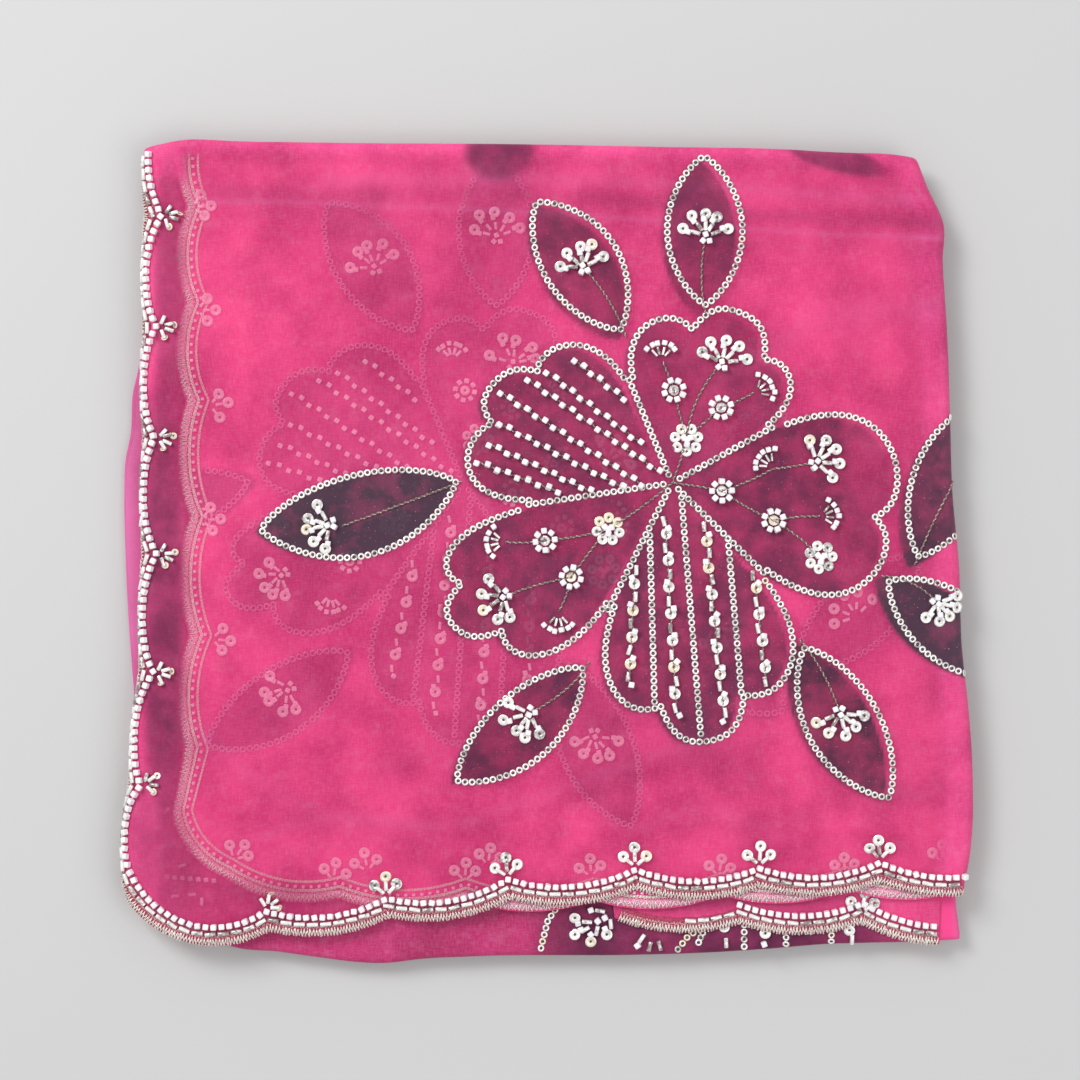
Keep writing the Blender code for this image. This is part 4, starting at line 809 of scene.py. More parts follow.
# Small things that are sewn on, each a few faces, in millimetres with z out of the cloth.
def turned(profile, sides, closed=True):
    # A closed profile of (radius, height) carried once round the upright axis.
    profile = np.array(profile)
    ahead = np.roll(profile, -1, axis=0)
    if (profile[:, 0] * ahead[:, 1] - ahead[:, 0] * profile[:, 1]).sum() < 0:
        profile = profile[::-1]  # the outside goes up, so that faces point outwards
    a = np.linspace(0, 2 * math.pi, sides, endpoint=False)
    radius, height = profile[:, :1], profile[:, 1:]
    points = np.stack([radius * np.cos(a), radius * np.sin(a), np.repeat(height, sides, 1)], -1)
    return points.reshape(-1, 3), gridFaces(len(profile), sides, closedRows=closed, closedColumns=True)


def roundedCube(size, power=0.35):
    # A superquadric: every cosine and sine is raised to a small power, which squares a ball.
    lat, lon = np.radians((-72, -24, 24, 72)), np.radians(np.arange(8) * 45 + 22.5)
    squash = lambda v: np.sign(v) * np.abs(v) ** power
    r, z = squash(np.cos(lat))[:, None], squash(np.sin(lat))[:, None]
    points = np.stack([r * squash(np.cos(lon)), r * squash(np.sin(lon)), z + 0 * lon], -1).reshape(-1, 3)
    points = np.concatenate([points, [[0, 0, -1], [0, 0, 1]]]) * size / 2
    side = np.arange(8)
    after = (side + 1) % 8
    low = np.stack([after, side, np.full(8, 32)], 1)
    high = np.stack([24 + side, 24 + after, np.full(8, 33)], 1)
    return points, gridFaces(4, 8, closedColumns=True).tolist() + low.tolist() + high.tolist()


def bugleTube(length, radius, sides=8):
    # A glass tube along x with a fine hole.
    half = length / 2
    profile = [(0.28, -half), (radius * 0.86, -half), (radius, -half + 0.14),
               (radius, half - 0.14), (radius * 0.86, half), (0.28, half)]
    points, faces = turned(profile, sides)
    return points[:, [2, 0, 1]], faces


def stitchLoop(width, height, thick, sides=4, steps=4):
    # A thread that goes over a band along y: z = height cos(pi y / width), with a round section.
    f = np.linspace(-0.5, 0.5, steps + 1)
    a = np.linspace(0, 2 * math.pi, sides, endpoint=False)
    y = f[:, None] * width
    z = height * np.cos(math.pi * f)[:, None] ** 0.7
    points = np.stack([thick * np.cos(a) + 0 * y, y + 0 * a, z + thick * 0.8 * np.sin(a)], -1)
    return points.reshape(-1, 3), gridFaces(steps + 1, sides, closedColumns=True)[:, ::-1]


notions = {
    "ring": turned([(0.58, 0.0), (0.62, 0.32), (0.94, 0.46), (1.26, 0.28), (1.33, 0.0)], 10),
    "sequin": turned([(0.46, 0.0), (0.50, 0.30), (1.30, 0.34), (2.04, 0.52), (2.10, 0.36), (1.4, 0.0)], 14),
    "knot": turned([(0.0, 0.0), (0.52, 0.0), (0.46, 0.16), (0.0, 0.24)], 6, closed=False),
    "cube": roundedCube(2.15),
    "bugle": bugleTube(3.6, 0.80),
    "stitch": stitchLoop(2.8, 0.55, 0.23),
}
sewnOn = {"top": [], "second": [], "third": [], "fourth": []}


def sewOn(name, kind, layer, flat, headingDeg, lift, material, slot,
          scale=1.0, tiltDeg=4.0, tone=None, turnDeg=0.0, stretch=(1, 1, 1)):
    # One mesh of many copies of a small thing, each turned a little on its seat.
    points, faces = notions[kind]
    headingDeg = headingDeg + chance.normal(0, 1, len(flat)) * turnDeg
    place, axes = seats(layer, flat, headingDeg, lift)
    count = len(place)
    tilt = np.radians(chance.normal(0, tiltDeg, (count, 2)))
    out = axes[:, 2] + axes[:, 0] * tilt[:, :1] + axes[:, 1] * tilt[:, 1:]
    out /= np.linalg.norm(out, axis=1)[:, None]
    along = axes[:, 0] - out * (axes[:, 0] * out).sum(1)[:, None]
    along /= np.linalg.norm(along, axis=1)[:, None]
    axes = np.stack([along, np.cross(out, along), out], axis=1)
    scale = np.broadcast_to(scale, (count,))[:, None, None]
    copies = place[:, None] + np.einsum("pi,cij->cpj", points * stretch, axes) * scale
    shifts = (np.arange(count) * len(points))[:, None]
    if isinstance(faces, np.ndarray):
        every = (shifts[:, :, None] + faces[None]).reshape(-1, faces.shape[1])
    else:
        every = [[i + base for i in face] for base in shifts[:, 0].tolist() for face in faces]
    if tone is None:
        tone = chance.random(count)
    else:
        tone = np.broadcast_to(tone, (count,)) + chance.normal(0, 0.08, count)
    piece = meshPiece(name, copies.reshape(-1, 3), every, material, None,
                      {"tone": np.repeat(tone, len(points))}, smooth=kind != "cube")
    sewnOn[layer].append(piece)
    return piece


def threadLines(name, layer, lines, radius, lift, material, sides=4, twist=1.7, step=0.5):
    # Two plies wound round each other: each is a round section carried along a helix on the flat line.
    points, faces, tones, used = [], [], [], 0
    ring = np.linspace(0, 2 * math.pi, sides, endpoint=False)
    for line in lines:
        flat, heading = evenStations(line, step)
        place, axes = seats(layer, flat, heading, lift)
        turn = 2 * math.pi * step / twist * np.arange(len(flat)) + chance.uniform(0, 6)
        around = np.cos(ring)[:, None] * axes[:, None, 1] + np.sin(ring)[:, None] * axes[:, None, 2]
        for ply in (0, math.pi):
            offset = np.cos(turn + ply)[:, None] * axes[:, 1] + np.sin(turn + ply)[:, None] * axes[:, 2]
            points.append(((place + radius * offset)[:, None] + radius * around).reshape(-1, 3))
            faces.append(gridFaces(len(flat), sides, closedColumns=True) + used)
            tones.append(np.full(len(flat) * sides, ply / math.pi))
            used += len(flat) * sides
    piece = meshPiece(name, np.concatenate(points), np.concatenate(faces), material, None,
                      {"tone": np.concatenate(tones)})
    sewnOn[layer].append(piece)


def bandAlong(name, layer, flat, heading, width, height, lift, material):
    # A low band along a flat line: height (1 - |2c|^3) at each share c of its width.
    side = towards(heading + 90)
    shares = np.array((-0.5, -0.42, -0.2, 0.0, 0.2, 0.42, 0.5))
    rows = [seats(layer, flat + side * c * width, heading, lift + height * (1 - abs(2 * c) ** 3))[0]
            for c in shares]
    faces = gridFaces(len(flat), len(shares))[:, ::-1]
    piece = meshPiece(name, np.stack(rows, 1).reshape(-1, 3), faces, material)
    sewnOn[layer].append(piece)
    return piece


# Finishes of what is sewn on.
trims = {
    # The silver sequins' warm colour is painted shade, as on sequins turned away from the light.
    "silver": {"dark": (0.30, 0.26, 0.26, 1), "light": (1.0, 0.98, 0.95, 1), "paintedWarmShade": (0.95, 0.83, 0.62, 1),
               "glaze": {"Metallic": 0.30, "Coat Weight": 0.6, "Coat Roughness": 0.10}},
    "bead": {"shade": (0.90, 0.87, 0.92, 1), "light": (1.0, 1.0, 1.0, 1),
             "glaze": {"Metallic": 0.0, "Coat Weight": 0.7, "Coat Roughness": 0.08}},
    "bugle": {"dark": (0.34, 0.28, 0.27, 1), "light": (1.0, 0.98, 0.96, 1),
              "glaze": {"Metallic": 0.35, "Coat Weight": 1.0, "Coat Roughness": 0.05}},
    "zari": {"dark": (0.72, 0.55, 0.50, 1), "light": (1.0, 0.97, 0.93, 1)},
    "ground": {"dark": (0.28, 0.015, 0.050, 1), "light": (0.52, 0.06, 0.14, 1)},
    "reverse": {"dark": (0.74, 0.14, 0.34, 1), "light": (0.98, 0.50, 0.70, 1)},
    "faded": {"dark": (1.0, 0.44, 0.66, 1), "light": (1.0, 0.80, 0.90, 1)},
    "dim": {"dark": (0.62, 0.10, 0.28, 1), "light": (1.0, 0.34, 0.58, 1)},
    "thread": {"dark": (0.20, 0.11, 0.11, 1), "light": (0.80, 0.70, 0.66, 1)},
    # The knots' near-black is painted shade in the holes of rings and sequins.
    "knot": {"dark": (0.05, 0.02, 0.03, 1), "light": (0.20, 0.10, 0.12, 1)},
}


def placeOf(tree):
    # Places in the object's own space.
    return addNode(tree, "ShaderNodeTexCoord", None, None, 3)


def sequinFinish():
    # Tarnished where the tone is low, a warm painted shade where it is high, and silver between.
    made, tree, shader = newFinish("silverSequin", **trims["silver"]["glaze"])
    tone, grain = attributeOf(tree, "tone"), noiseAt(tree, placeOf(tree), 900.0, 2.0)
    colour = mixColour(tree, stepUp(tree, grain, 0.3, 0.7), trims["silver"]["dark"], trims["silver"]["light"])
    colour = mixColour(tree, stepUp(tree, tone, 0.08, 0.36) * 0.92, colour, trims["silver"]["light"])
    colour = mixColour(tree, stepUp(tree, tone, 0.76, 0.94) * 0.9, colour, trims["silver"]["paintedWarmShade"])
    tree.links.new(colour.socket, shader.inputs["Base Color"])
    tree.links.new((0.20 + grain * 0.25).socket, shader.inputs["Roughness"])
    return made


def beadFinish():
    # Each bead has its own white.
    made, tree, shader = newFinish("pearlBead", **trims["bead"]["glaze"])
    colour = mixColour(tree, attributeOf(tree, "tone"), trims["bead"]["shade"], trims["bead"]["light"])
    tree.links.new(colour.socket, shader.inputs["Base Color"])
    grain = noiseAt(tree, placeOf(tree), 1500.0, 2.0)
    tree.links.new((0.22 + grain * 0.2).socket, shader.inputs["Roughness"])
    return made


def bugleFinish():
    # Dark patches where the silver lining shows as grey.
    made, tree, shader = newFinish("silverLinedBugle", **trims["bugle"]["glaze"])
    grain = noiseAt(tree, placeOf(tree), 700.0, 2.0)
    share = stepUp(tree, grain * 0.65 + attributeOf(tree, "tone") * 0.35, 0.32, 0.50)
    colour = mixColour(tree, share, trims["bugle"]["dark"], trims["bugle"]["light"])
    tree.links.new(colour.socket, shader.inputs["Base Color"])
    tree.links.new((0.12 + grain * 0.2).socket, shader.inputs["Roughness"])
    return made


def threadFinish(name, colours, metal, contrast=0.0):
    # Strands from dark to light, and darker by the contrast where the tone attribute is high.
    made, tree, shader = newFinish(name, Metallic=metal)
    strands = noiseAt(tree, placeOf(tree), 2400.0, 2.0)
    light = stepUp(tree, strands, 0.36, 0.62) * (1.0 - contrast * attributeOf(tree, "tone"))
    colour = mixColour(tree, light, colours["dark"], colours["light"])
    tree.links.new(colour.socket, shader.inputs["Base Color"])
    tree.links.new((0.30 + strands * 0.3).socket, shader.inputs["Roughness"])
    return made


silver, pearl, glass = sequinFinish(), beadFinish(), bugleFinish()
zari = threadFinish("zariThread", trims["zari"], 0.55)
zariGround = threadFinish("zariGround", trims["ground"], 0.0)
zariReverse = threadFinish("zariReverse", trims["reverse"], 0.1)
fadedBack = threadFinish("fadedBack", trims["faded"], 0.1)
dimBack = threadFinish("dimBack", trims["dim"], 0.1)
paintedShadeKnot = threadFinish("paintedShadeKnot", trims["knot"], 0.0)
darkThread = threadFinish("tarnishedThread", trims["thread"], 0.4, 0.9)

print("scene: hems")
rowOffset = {"cube": 0.0, "bugle": 2.6, "zari": 5.6}
pitch = {"cube": 2.9, "bugle": 4.75, "stitch": 0.56, "ring": 2.52}


def keepInside(flat, *more):
    # Seats short of the ends of the top layer's folds.
    keep = (flat[:, 0] <= topRight(flat[:, 1]) - 3.4) & (flat[:, 1] <= topTop(flat[:, 0]) - 4.0)
    return (flat[keep], *(m[keep] for m in more))


flat, heading = keepInside(*evenStations(arcs(hems["top"], rowOffset["cube"]), pitch["cube"]))
topCubes = sewOn("topCubeRow", "cube", "top", flat, heading, 1.25, pearl, "cube_beads",
                 tiltDeg=7.0, turnDeg=9.0)
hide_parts("top_bead_row")
flat, heading = keepInside(*evenStations(arcs(hems["top"], rowOffset["bugle"]), pitch["bugle"]))
topBugles = sewOn("topBugleRow", "bugle", "top", flat, heading, 0.95, glass, "bugle_beads",
                  tiltDeg=3.0, turnDeg=4.0, stretch=(1.1, 1, 1))
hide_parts("top_bugle_row")


def stitchBand(name, layer, flat, heading, spread, width, ground, groundWidth, groundIn):
    # Dense stitches over a low ground: every other one leans the other way, and none leans quite the same.
    lean = np.where(np.arange(len(heading)) % 2, spread, -spread) * chance.uniform(0.0, 1.5, len(heading))
    inwards = towards(heading + 90)
    under = flat + groundIn * inwards
    ground = bandAlong(name + "Ground", layer, under, heading, groundWidth, 0.26, 0.10, ground)
    over = sewOn(name + "Stitches", "stitch", layer, flat, heading + lean, 0.20, zari, "zari", tiltDeg=5.0,
                 scale=chance.uniform(0.82, 1.16, len(flat)) * width / 2.8)
    inner = flat + chance.uniform(1.7, 2.1, len(flat))[:, None] * inwards
    inner = sewOn(name + "InnerStitches", "stitch", layer, inner, heading - lean * 1.6, 0.20, zari, "zari",
                  tiltDeg=5.0, scale=chance.uniform(0.36, 0.52, len(flat)))
    return [ground, over, inner]


flat, heading = keepInside(*evenStations(arcs(hems["top"], rowOffset["zari"]), pitch["stitch"]))
topZari = stitchBand("topZari", "top", flat, heading, 17, 2.7, zariGround, 5.2, 1.5)
for piece in topZari:
    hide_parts("top_zari_edging")

def insideSecond(flat):
    # Which points lie 2 mm inside the hidden edges.
    return (flat[:, 0] <= hiddenRight(flat[:, 1]) - 2) & (flat[:, 1] <= hiddenTop(flat[:, 0]) - 2)


# The second layer shows its reverse: the back of its band and the threads that run beside it.
flat, heading = evenStations(arcs(hems["second"], 5.0), 0.80)
keep = insideSecond(flat)
stitchBand("secondZari", "second", flat[keep], heading[keep], 34, 2.7, zariReverse, 2.6, 0.4)
backLines = [arcs(hems["second"], offset) for offset in (2.4, 1.9, -0.8, -1.2)]
backLines = [line[insideSecond(line)] for line in backLines]
threadLines("backThreads", "second", backLines, 0.20, 0.25, zari, twist=2.3, step=0.62)
flat, heading = evenStations(arcs(hems["second"], 0.8), pitch["cube"])
keep = insideSecond(flat)
sewOn("ghostCubeRow", "cube", "second", flat[keep], heading[keep], 0.3, fadedBack, "cube_beads", scale=0.55)

inThird = lambda flat: (flat[:, 0] >= 26.0) & (flat[:, 0] <= 141.4)
flat, heading = evenStations(arcs(hems["third"], rowOffset["bugle"]), pitch["bugle"])
keep = inThird(flat) & (flat[:, 0] > 51)
thirdBugles = sewOn("thirdBugleRow", "bugle", "third", flat[keep], heading[keep], 0.95, glass, "bugle_beads",
                    turnDeg=4.0, stretch=(1.1, 1, 1))
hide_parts("third_bugle_row")
flat, heading = evenStations(arcs(hems["third"], rowOffset["zari"]), pitch["stitch"])
keep = inThird(flat)
thirdZari = stitchBand("thirdZari", "third", flat[keep], heading[keep], 17, 2.9, zariGround, 5.2, 1.5)
for piece in thirdZari:
    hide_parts("third_zari_edging")
flat, heading = evenStations(arcs(hems["third"], rowOffset["cube"]), pitch["cube"])
keep = inThird(flat) & (flat[:, 0] > 68)
sewOn("thirdCubeRow", "cube", "third", flat[keep], heading[keep], 1.0, pearl, "cube_beads", tiltDeg=7.0)

print("scene: flower")
centre = np.array(flower["centre"])
stripes = {
    "rings": (((-8.0, -18.9), (-6.3, -78.6)), ((3.4, -5.2), (10.3, -90.1)), ((20.1, -20.1), (24.9, -75.2))),
    "beads": (((-13.2, -29.8), (-15.5, -73.5)), ((-2.5, -12.0), (1.7, -83.8)), ((11.8, -14.3), (18.9, -86.1)),
              ((29.3, -31.6), (33.9, -71.7))),
    "repeat": 9.6,
    "dots": (((-35.0, 44.0), (-17.2, 30.2)), ((-45.0, 39.8), (-11.5, 14.4)), ((-51.7, 37.1), (-4.6, 4.0)),
             ((-61.6, 32.4), (-10.9, -0.6)), ((-62.0, 21.2), (-17.8, -1.4)), ((-65.7, 13.8), (-29.3, -2.9)),
             ((-70.0, 7.5), (-40.8, -3.2))),
    "dotStep": 3.8,
    # kind, start along the column, distance aside and turn of what repeats in it
    "column": (("bugle", 1.7, -0.55, 5), ("cube", 4.2, 0.95, 25), ("sequin", 6.4, 0.1, 0)),
}


def ringLine(line, closed=False):
    # Rows of (x, y, heading), one for each ring along a line.
    flat, heading = evenStations(line, pitch["ring"], closed)
    return np.column_stack([flat, heading])


petalRings = []
for angleDeg, length in zip(flower["spokeDeg"], flower["spokeLength"]):
    a = math.radians(angleDeg)
    petalRings.append(ringLine(centre + np.outer((3.2, length), (math.cos(a), math.sin(a)))))
petalRings += [ringLine(petalLine(petal)) for petal in flower["petals"]]
petalRings += [ringLine(centre + np.array(pair)) for pair in stripes["rings"]]
leafRings = [ringLine(leafLine(leaf), True) for leaf in flower["leaves"]]
motifs = {
    # hub, heading and size of each sprig; the first six stand in leaves and the others in petals
    "sprigs": ((11.9, 88.6, 90, 1.0), (-32.0, 77.4, 105, 1.0), (-123.1, -15.1, 190, 1.0),
               (-51.1, -82.7, 225, 1.0), (60.3, -82.7, 280, 1.0), (95.6, -43.0, 305, 0.8),
               (17.8, 43.0, 80, 1.0), (-60.3, -40.8, 215, 1.0), (51.7, 7.5, 30, 1.0)),
    "ringFlowers": ((-45.6, -20.7), (-36.2, -33.9), (0.6, 33.3), (17.6, 27.0), (17.8, -2.9), (36.5, -13.5)),
    "sequinFlowers": ((-23.0, -16.6), (5.2, 15.5), (53.4, -26.7)),
    "fans": ((-63.4, -21.2, 180), (-40.8, -49.7, 270), (-4.0, 47.1, 90), (32.7, 33.9, 30),
             (33.9, 8.0, 135), (56.3, -11.5, 10)),
    "threads": (((0, 0), (-23.0, -16.6)), ((-23.0, -16.6), (-45.6, -20.7)), ((-45.6, -20.7), (-60.0, -21.2)),
                ((-23.0, -16.6), (-36.2, -33.9)), ((-36.2, -33.9), (-60.3, -40.8)),
                ((-36.2, -33.9), (-40.6, -46.0)), ((0, 0), (5.2, 15.5)), ((5.2, 15.5), (0.6, 33.3)),
                ((0.6, 33.3), (-3.4, 43.6)), ((5.2, 15.5), (17.6, 27.0)), ((17.6, 27.0), (29.4, 32.4)),
                ((5.2, 15.5), (9.0, 30.0), (17.8, 43.0)), ((0, 0), (17.8, -2.9)),
                ((17.8, -2.9), (36.5, -13.5)), ((17.8, -2.9), (36.0, 5.0)), ((36.0, 5.0), (51.7, 7.5)),
                ((36.5, -13.5), (53.0, -12.0)), ((36.5, -13.5), (53.4, -26.7)),
                ((12.0, 60.6), (10.6, 74.0), (11.9, 88.6)), ((-16.5, 52.4), (-23.0, 66.0), (-32.0, 77.4)),
                ((-75.4, 0.6), (-97.0, -7.6), (-118.4, -15.4)),
                ((-29.7, -64.3), (-38.0, -74.0), (-51.1, -82.7)),
                ((45.9, -56.4), (54.0, -68.0), (60.3, -82.7)), ((75.3, -33.4), (86.0, -36.0), (95.6, -43.0)),
                ((87.3, -29.4), (95.0, -12.0), (101.9, 0.8))),
}


def placedAt(hub, headingDeg, polar):
    # Offsets given as (distance, angle, turn) from a hub whose own heading is added to each angle.
    polar = np.array(polar, float)
    a = np.radians(polar[:, 1] + headingDeg)
    return np.column_stack([hub[0] + polar[:, 0] * np.cos(a), hub[1] + polar[:, 0] * np.sin(a),
                            polar[:, 2] + headingDeg])


def sprig(hub, headingDeg, size=1.0):
    # Five bugles spread from the hub to five sequins, with beads at the hub and by each sequin.
    lean = np.array((-72, -36, 0, 36, 72)) + chance.normal(0, 4, 5)
    far = size * (8.5 + chance.normal(0, 0.5, 5))
    return {
        "sequin": placedAt(hub, headingDeg, np.column_stack([far, lean, lean])),
        "bugle": placedAt(hub, headingDeg, np.column_stack([far * 0.45, lean, lean])),
        "cube": np.concatenate([placedAt(hub, headingDeg, np.column_stack([far - 2.0, lean + 6, lean])),
                                placedAt(hub, headingDeg, ((0.6, 0, 20), (1.9, 150, 50), (2.2, -140, 10)))]),
    }


def ringFlower(hub):
    # Eight beads in a ring round one sequin.
    a = np.arange(8) * 45.0 + chance.uniform(0, 40)
    return {"smallSequin": np.array([[*hub, 0.0]]),
            "cube": placedAt(hub, 0, np.column_stack([np.full(8, 3.5), a, a]))}


def sequinFlower(hub):
    # Seven sequins in a ring round four beads.
    a = np.arange(7) * 360 / 7 + chance.uniform(0, 40)
    return {"smallSequin": placedAt(hub, 0, np.column_stack([np.full(7, 4.2), a, a])),
            "cube": placedAt(hub, 0, ((1.5, 30, 10), (1.4, 150, 40), (1.6, 270, 80), (0.0, 0, 20)))}


def fan(hub, headingDeg):
    # Beads on an arc and short bugles between them and the foot of the fan.
    a = math.radians(headingDeg)
    foot = (hub[0] - 3.0 * math.cos(a), hub[1] - 3.0 * math.sin(a))
    lean, between = np.linspace(-52, 52, 6) + chance.normal(0, 1.5, 6), np.array((-42, -15, 15, 42))
    far = chance.normal(6.3, 0.15, 6)
    return {"smallCube": placedAt(foot, headingDeg, np.column_stack([far, lean, lean])),
            "shortBugle": placedAt(foot, headingDeg, np.column_stack([np.full(4, 3.4), between, between]))}


def gather(groups):
    # Rows of every kind from several motifs, joined.
    kinds = {kind for group in groups for kind in group}
    return {kind: np.concatenate([group[kind] for group in groups if kind in group]) for kind in kinds}


def dottedRows(shift):
    # Cubes along each row, with a slight zigzag.
    rows = []
    for pair in stripes["dots"]:
        flat, heading = evenStations(shift + np.array(pair), stripes["dotStep"])
        step = 0.45 * np.where(np.arange(len(flat)) % 2, 1, -1)[:, None]
        rows.append(np.column_stack([flat + step * towards(heading + 90), heading]))
    return np.concatenate(rows)


def beadColumns(shift):
    # A bugle, a cube and a sequin in turn along each column.
    found = {"bugle": [], "cube": [], "sequin": []}
    for pair in stripes["beads"]:
        line = shift + np.array(pair)
        length = np.linalg.norm(line[1] - line[0])
        along = (line[1] - line[0]) / length
        side = np.where(chance.random(12) < 0.7, 1.0, -1.0)  # which side of the line each bead takes
        for kind, start, aside, spin in stripes["column"]:
            at = np.arange(start, length, stripes["repeat"]) + chance.normal(0, 0.15)
            shiftBy = aside * side[:len(at)] + chance.normal(0, 0.12, len(at))
            place = stationsAlong(line, at / length) + shiftBy[:, None] * np.array([-along[1], along[0]])
            angle = math.degrees(math.atan2(along[1], along[0])) + spin * chance.normal(0, 1, len(at))
            found[kind].append(np.column_stack([place, angle]))
    return {kind: np.concatenate(rows) for kind, rows in found.items()}


def allMotifs(shift):
    # Every motif of the flower about a centre: the sprigs, and what stands in the petals.
    groups = [sprig(shift + hub[:2], hub[2], hub[3]) for hub in np.array(motifs["sprigs"], float)]
    inner = [ringFlower(shift + np.array(hub)) for hub in motifs["ringFlowers"]]
    inner += [sequinFlower(shift + np.array(hub)) for hub in motifs["sequinFlowers"]]
    inner += [fan(shift + np.array(hub[:2]), hub[2]) for hub in motifs["fans"]]
    inner.append(beadColumns(shift))
    inner.append({"cube": dottedRows(shift)})
    return gather(groups), gather(inner)


def inFolds(rows, short):
    # Rows that end a little short of the top layer's right fold, and 1.6 mm short of its upper one.
    return rows[(rows[:, 0] <= topRight(rows[:, 1]) - short) & (rows[:, 1] <= topTop(rows[:, 0]) - 1.6)]


def sewRows(name, kind, layer, rows, lift, material, slot, **more):
    # Rows of (x, y, heading) sewn on, where they lie inside the folds.
    rows = inFolds(rows, 1.6)
    return sewOn(name, kind, layer, rows[:, :2], rows[:, 2], lift, material, slot, **more)


petalNodes = [f"spoke_{n}" for n in ("right", "upper", "left", "lower_left", "lower_right")]
petalNodes += [f"petal_line_{n}" for n in ("upper", "dotted", "left", "striped", "right")]
leafNames = ("top", "upper_left", "left", "lower_left", "lower_right", "right", "upper_right")
leafNodes = [f"leaf_line_{n}" for n in leafNames]
sprigNodes = [f"sprig_{k}" for k in range(1, 9)]
ringTone = lambda rows: chance.uniform(0.0, 0.72, len(rows))
kept = lambda rows: inFolds(rows, 2.6)
petalRows, leafRows = kept(np.concatenate(petalRings)), kept(np.concatenate(leafRings))
petalSequins = sewRows("petalSequins", "ring", "top", petalRows, 0.12, silver, "sequins", tiltDeg=9.0,
                       tone=ringTone(petalRows))
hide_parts(*petalNodes)
leafSequins = sewRows("leafSequins", "ring", "top", leafRows, 0.12, silver, "sequins", tiltDeg=9.0,
                      tone=ringTone(leafRows))
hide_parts(*leafNodes)
sprigs, inner = allMotifs(centre)
sprigPieces = [
    sewRows("sprigSequins", "sequin", "top", sprigs["sequin"], 0.15, silver, "sequins", tiltDeg=8.0),
    sewRows("sprigBugles", "bugle", "top", sprigs["bugle"], 0.95, glass, "bugle_beads"),
    sewRows("sprigCubes", "cube", "top", sprigs["cube"], 1.25, pearl, "cube_beads", tiltDeg=9.0, scale=0.95),
]
for piece in sprigPieces:
    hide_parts(*sprigNodes)
sewRows("motifCubes", "cube", "top", inner["cube"], 1.1, pearl, "cube_beads", tiltDeg=9.0)
sewRows("fanCubes", "cube", "top", inner["smallCube"], 1.05, pearl, "cube_beads", tiltDeg=9.0, scale=0.88)
sewRows("flowerSequins", "sequin", "top", inner["smallSequin"], 0.15, silver, "sequins", tiltDeg=8.0,
        scale=0.92)
sewRows("columnSequins", "sequin", "top", inner["sequin"], 0.15, silver, "sequins",
        tone=chance.uniform(0.3, 1.1, len(kept(inner["sequin"]))))
sewRows("columnBugles", "bugle", "top", inner["bugle"], 0.9, glass, "bugle_beads")
sewRows("fanBugles", "bugle", "top", inner["shortBugle"], 0.65, glass, "bugle_beads", scale=0.72,
        stretch=(1.1, 0.8, 0.8))


def stemLine(points):
    # A parabola through the two ends and a middle point, which is set a little aside where none is given.
    points = np.array(points, float)
    if len(points) == 2:
        along = points[1] - points[0]
        middle = points.mean(axis=0) + chance.uniform(-0.04, 0.04) * np.array((-along[1], along[0]))
        points = np.array((points[0], middle, points[1]))
    u = np.linspace(0, 1, 13)[:, None]
    return points[0] * (1 - u) * (1 - 2 * u) + points[1] * 4 * u * (1 - u) + points[2] * u * (2 * u - 1)


stems = [centre + stemLine(points) for points in motifs["threads"]]
stems += [centre + np.array(pair) for pair in (*stripes["dots"], *stripes["beads"])]
threadLines("stemThreads", "top", stems, 0.24, 0.3, darkThread, twist=2.1, step=0.42)
# Dark knots in the holes of rings and sequins, coloured as painted shade.
knotRows = np.concatenate([petalRows, leafRows,
                           *(kept(rows) for rows in (sprigs["sequin"], inner["sequin"], inner["smallSequin"]))])
sewRows("holeShadeKnots", "knot", "top", knotRows, 0.12, paintedShadeKnot, "zari")

# A fleur of three sequins stands inwards from each cusp of the hem.
cusps = np.stack([hems["top"]["x"], hems["top"]["y"]], axis=1)
chord = cusps[2:] - cusps[:-2]
inwards = np.stack([-chord[:, 1], chord[:, 0]], 1) / np.linalg.norm(chord, axis=1)[:, None]
inDeg = np.degrees(np.arctan2(inwards[:, 1], inwards[:, 0]))


def fleurAt(place, headingDeg):
    # Three bugles spread from the cusp to three sequins.
    lean = np.array((-48, 0, 48)) + chance.normal(0, 4, 3)
    far = np.array((5.4, 6.7, 5.4))
    return {"bugle": placedAt(place, headingDeg, np.column_stack([far * 0.5, lean, lean])),
            "sequin": placedAt(place, headingDeg, np.column_stack([far, lean, lean]))}


def sideFleur(place, headingDeg):
    # Four bugles close together and a small sequin at either side.
    lean = np.array((-62, -20, 18, 60)) + chance.normal(0, 6, 4)
    return {"bugle": placedAt(place, headingDeg, np.column_stack([(3.0, 3.6, 3.4, 2.6), lean, lean])),
            "edgeSequin": placedAt(place, headingDeg, ((4.4, -66, 0), (5.4, 8, 0)))}


foots = cusps[1:-1] + inwards * 1.2
fleurs = gather([sideFleur(foots[k], inDeg[k]) if foots[k][0] < -95 else fleurAt(foots[k], inDeg[k])
                 for k in range(len(inDeg))])
fleurNodes = [f"fleur_{k}" for k in range(1, 13)]
fleurPieces = [
    sewRows("fleurSequins", "sequin", "top", fleurs["sequin"], 0.15, silver, "sequins", tiltDeg=8.0),
    sewRows("sideFleurSequins", "sequin", "top", fleurs["edgeSequin"], 0.4, silver, "sequins",
            tiltDeg=30.0, scale=0.62, tone=0.95),
    sewRows("fleurBugles", "bugle", "top", fleurs["bugle"], 1.0, glass, "bugle_beads", scale=0.92),
]
for piece in fleurPieces:
    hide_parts(*fleurNodes)
# Dark knots in the fleur sequins' holes, coloured as painted shade.
sewRows("fleurShadeKnots", "knot", "top", fleurs["sequin"], 0.12, paintedShadeKnot, "zari")

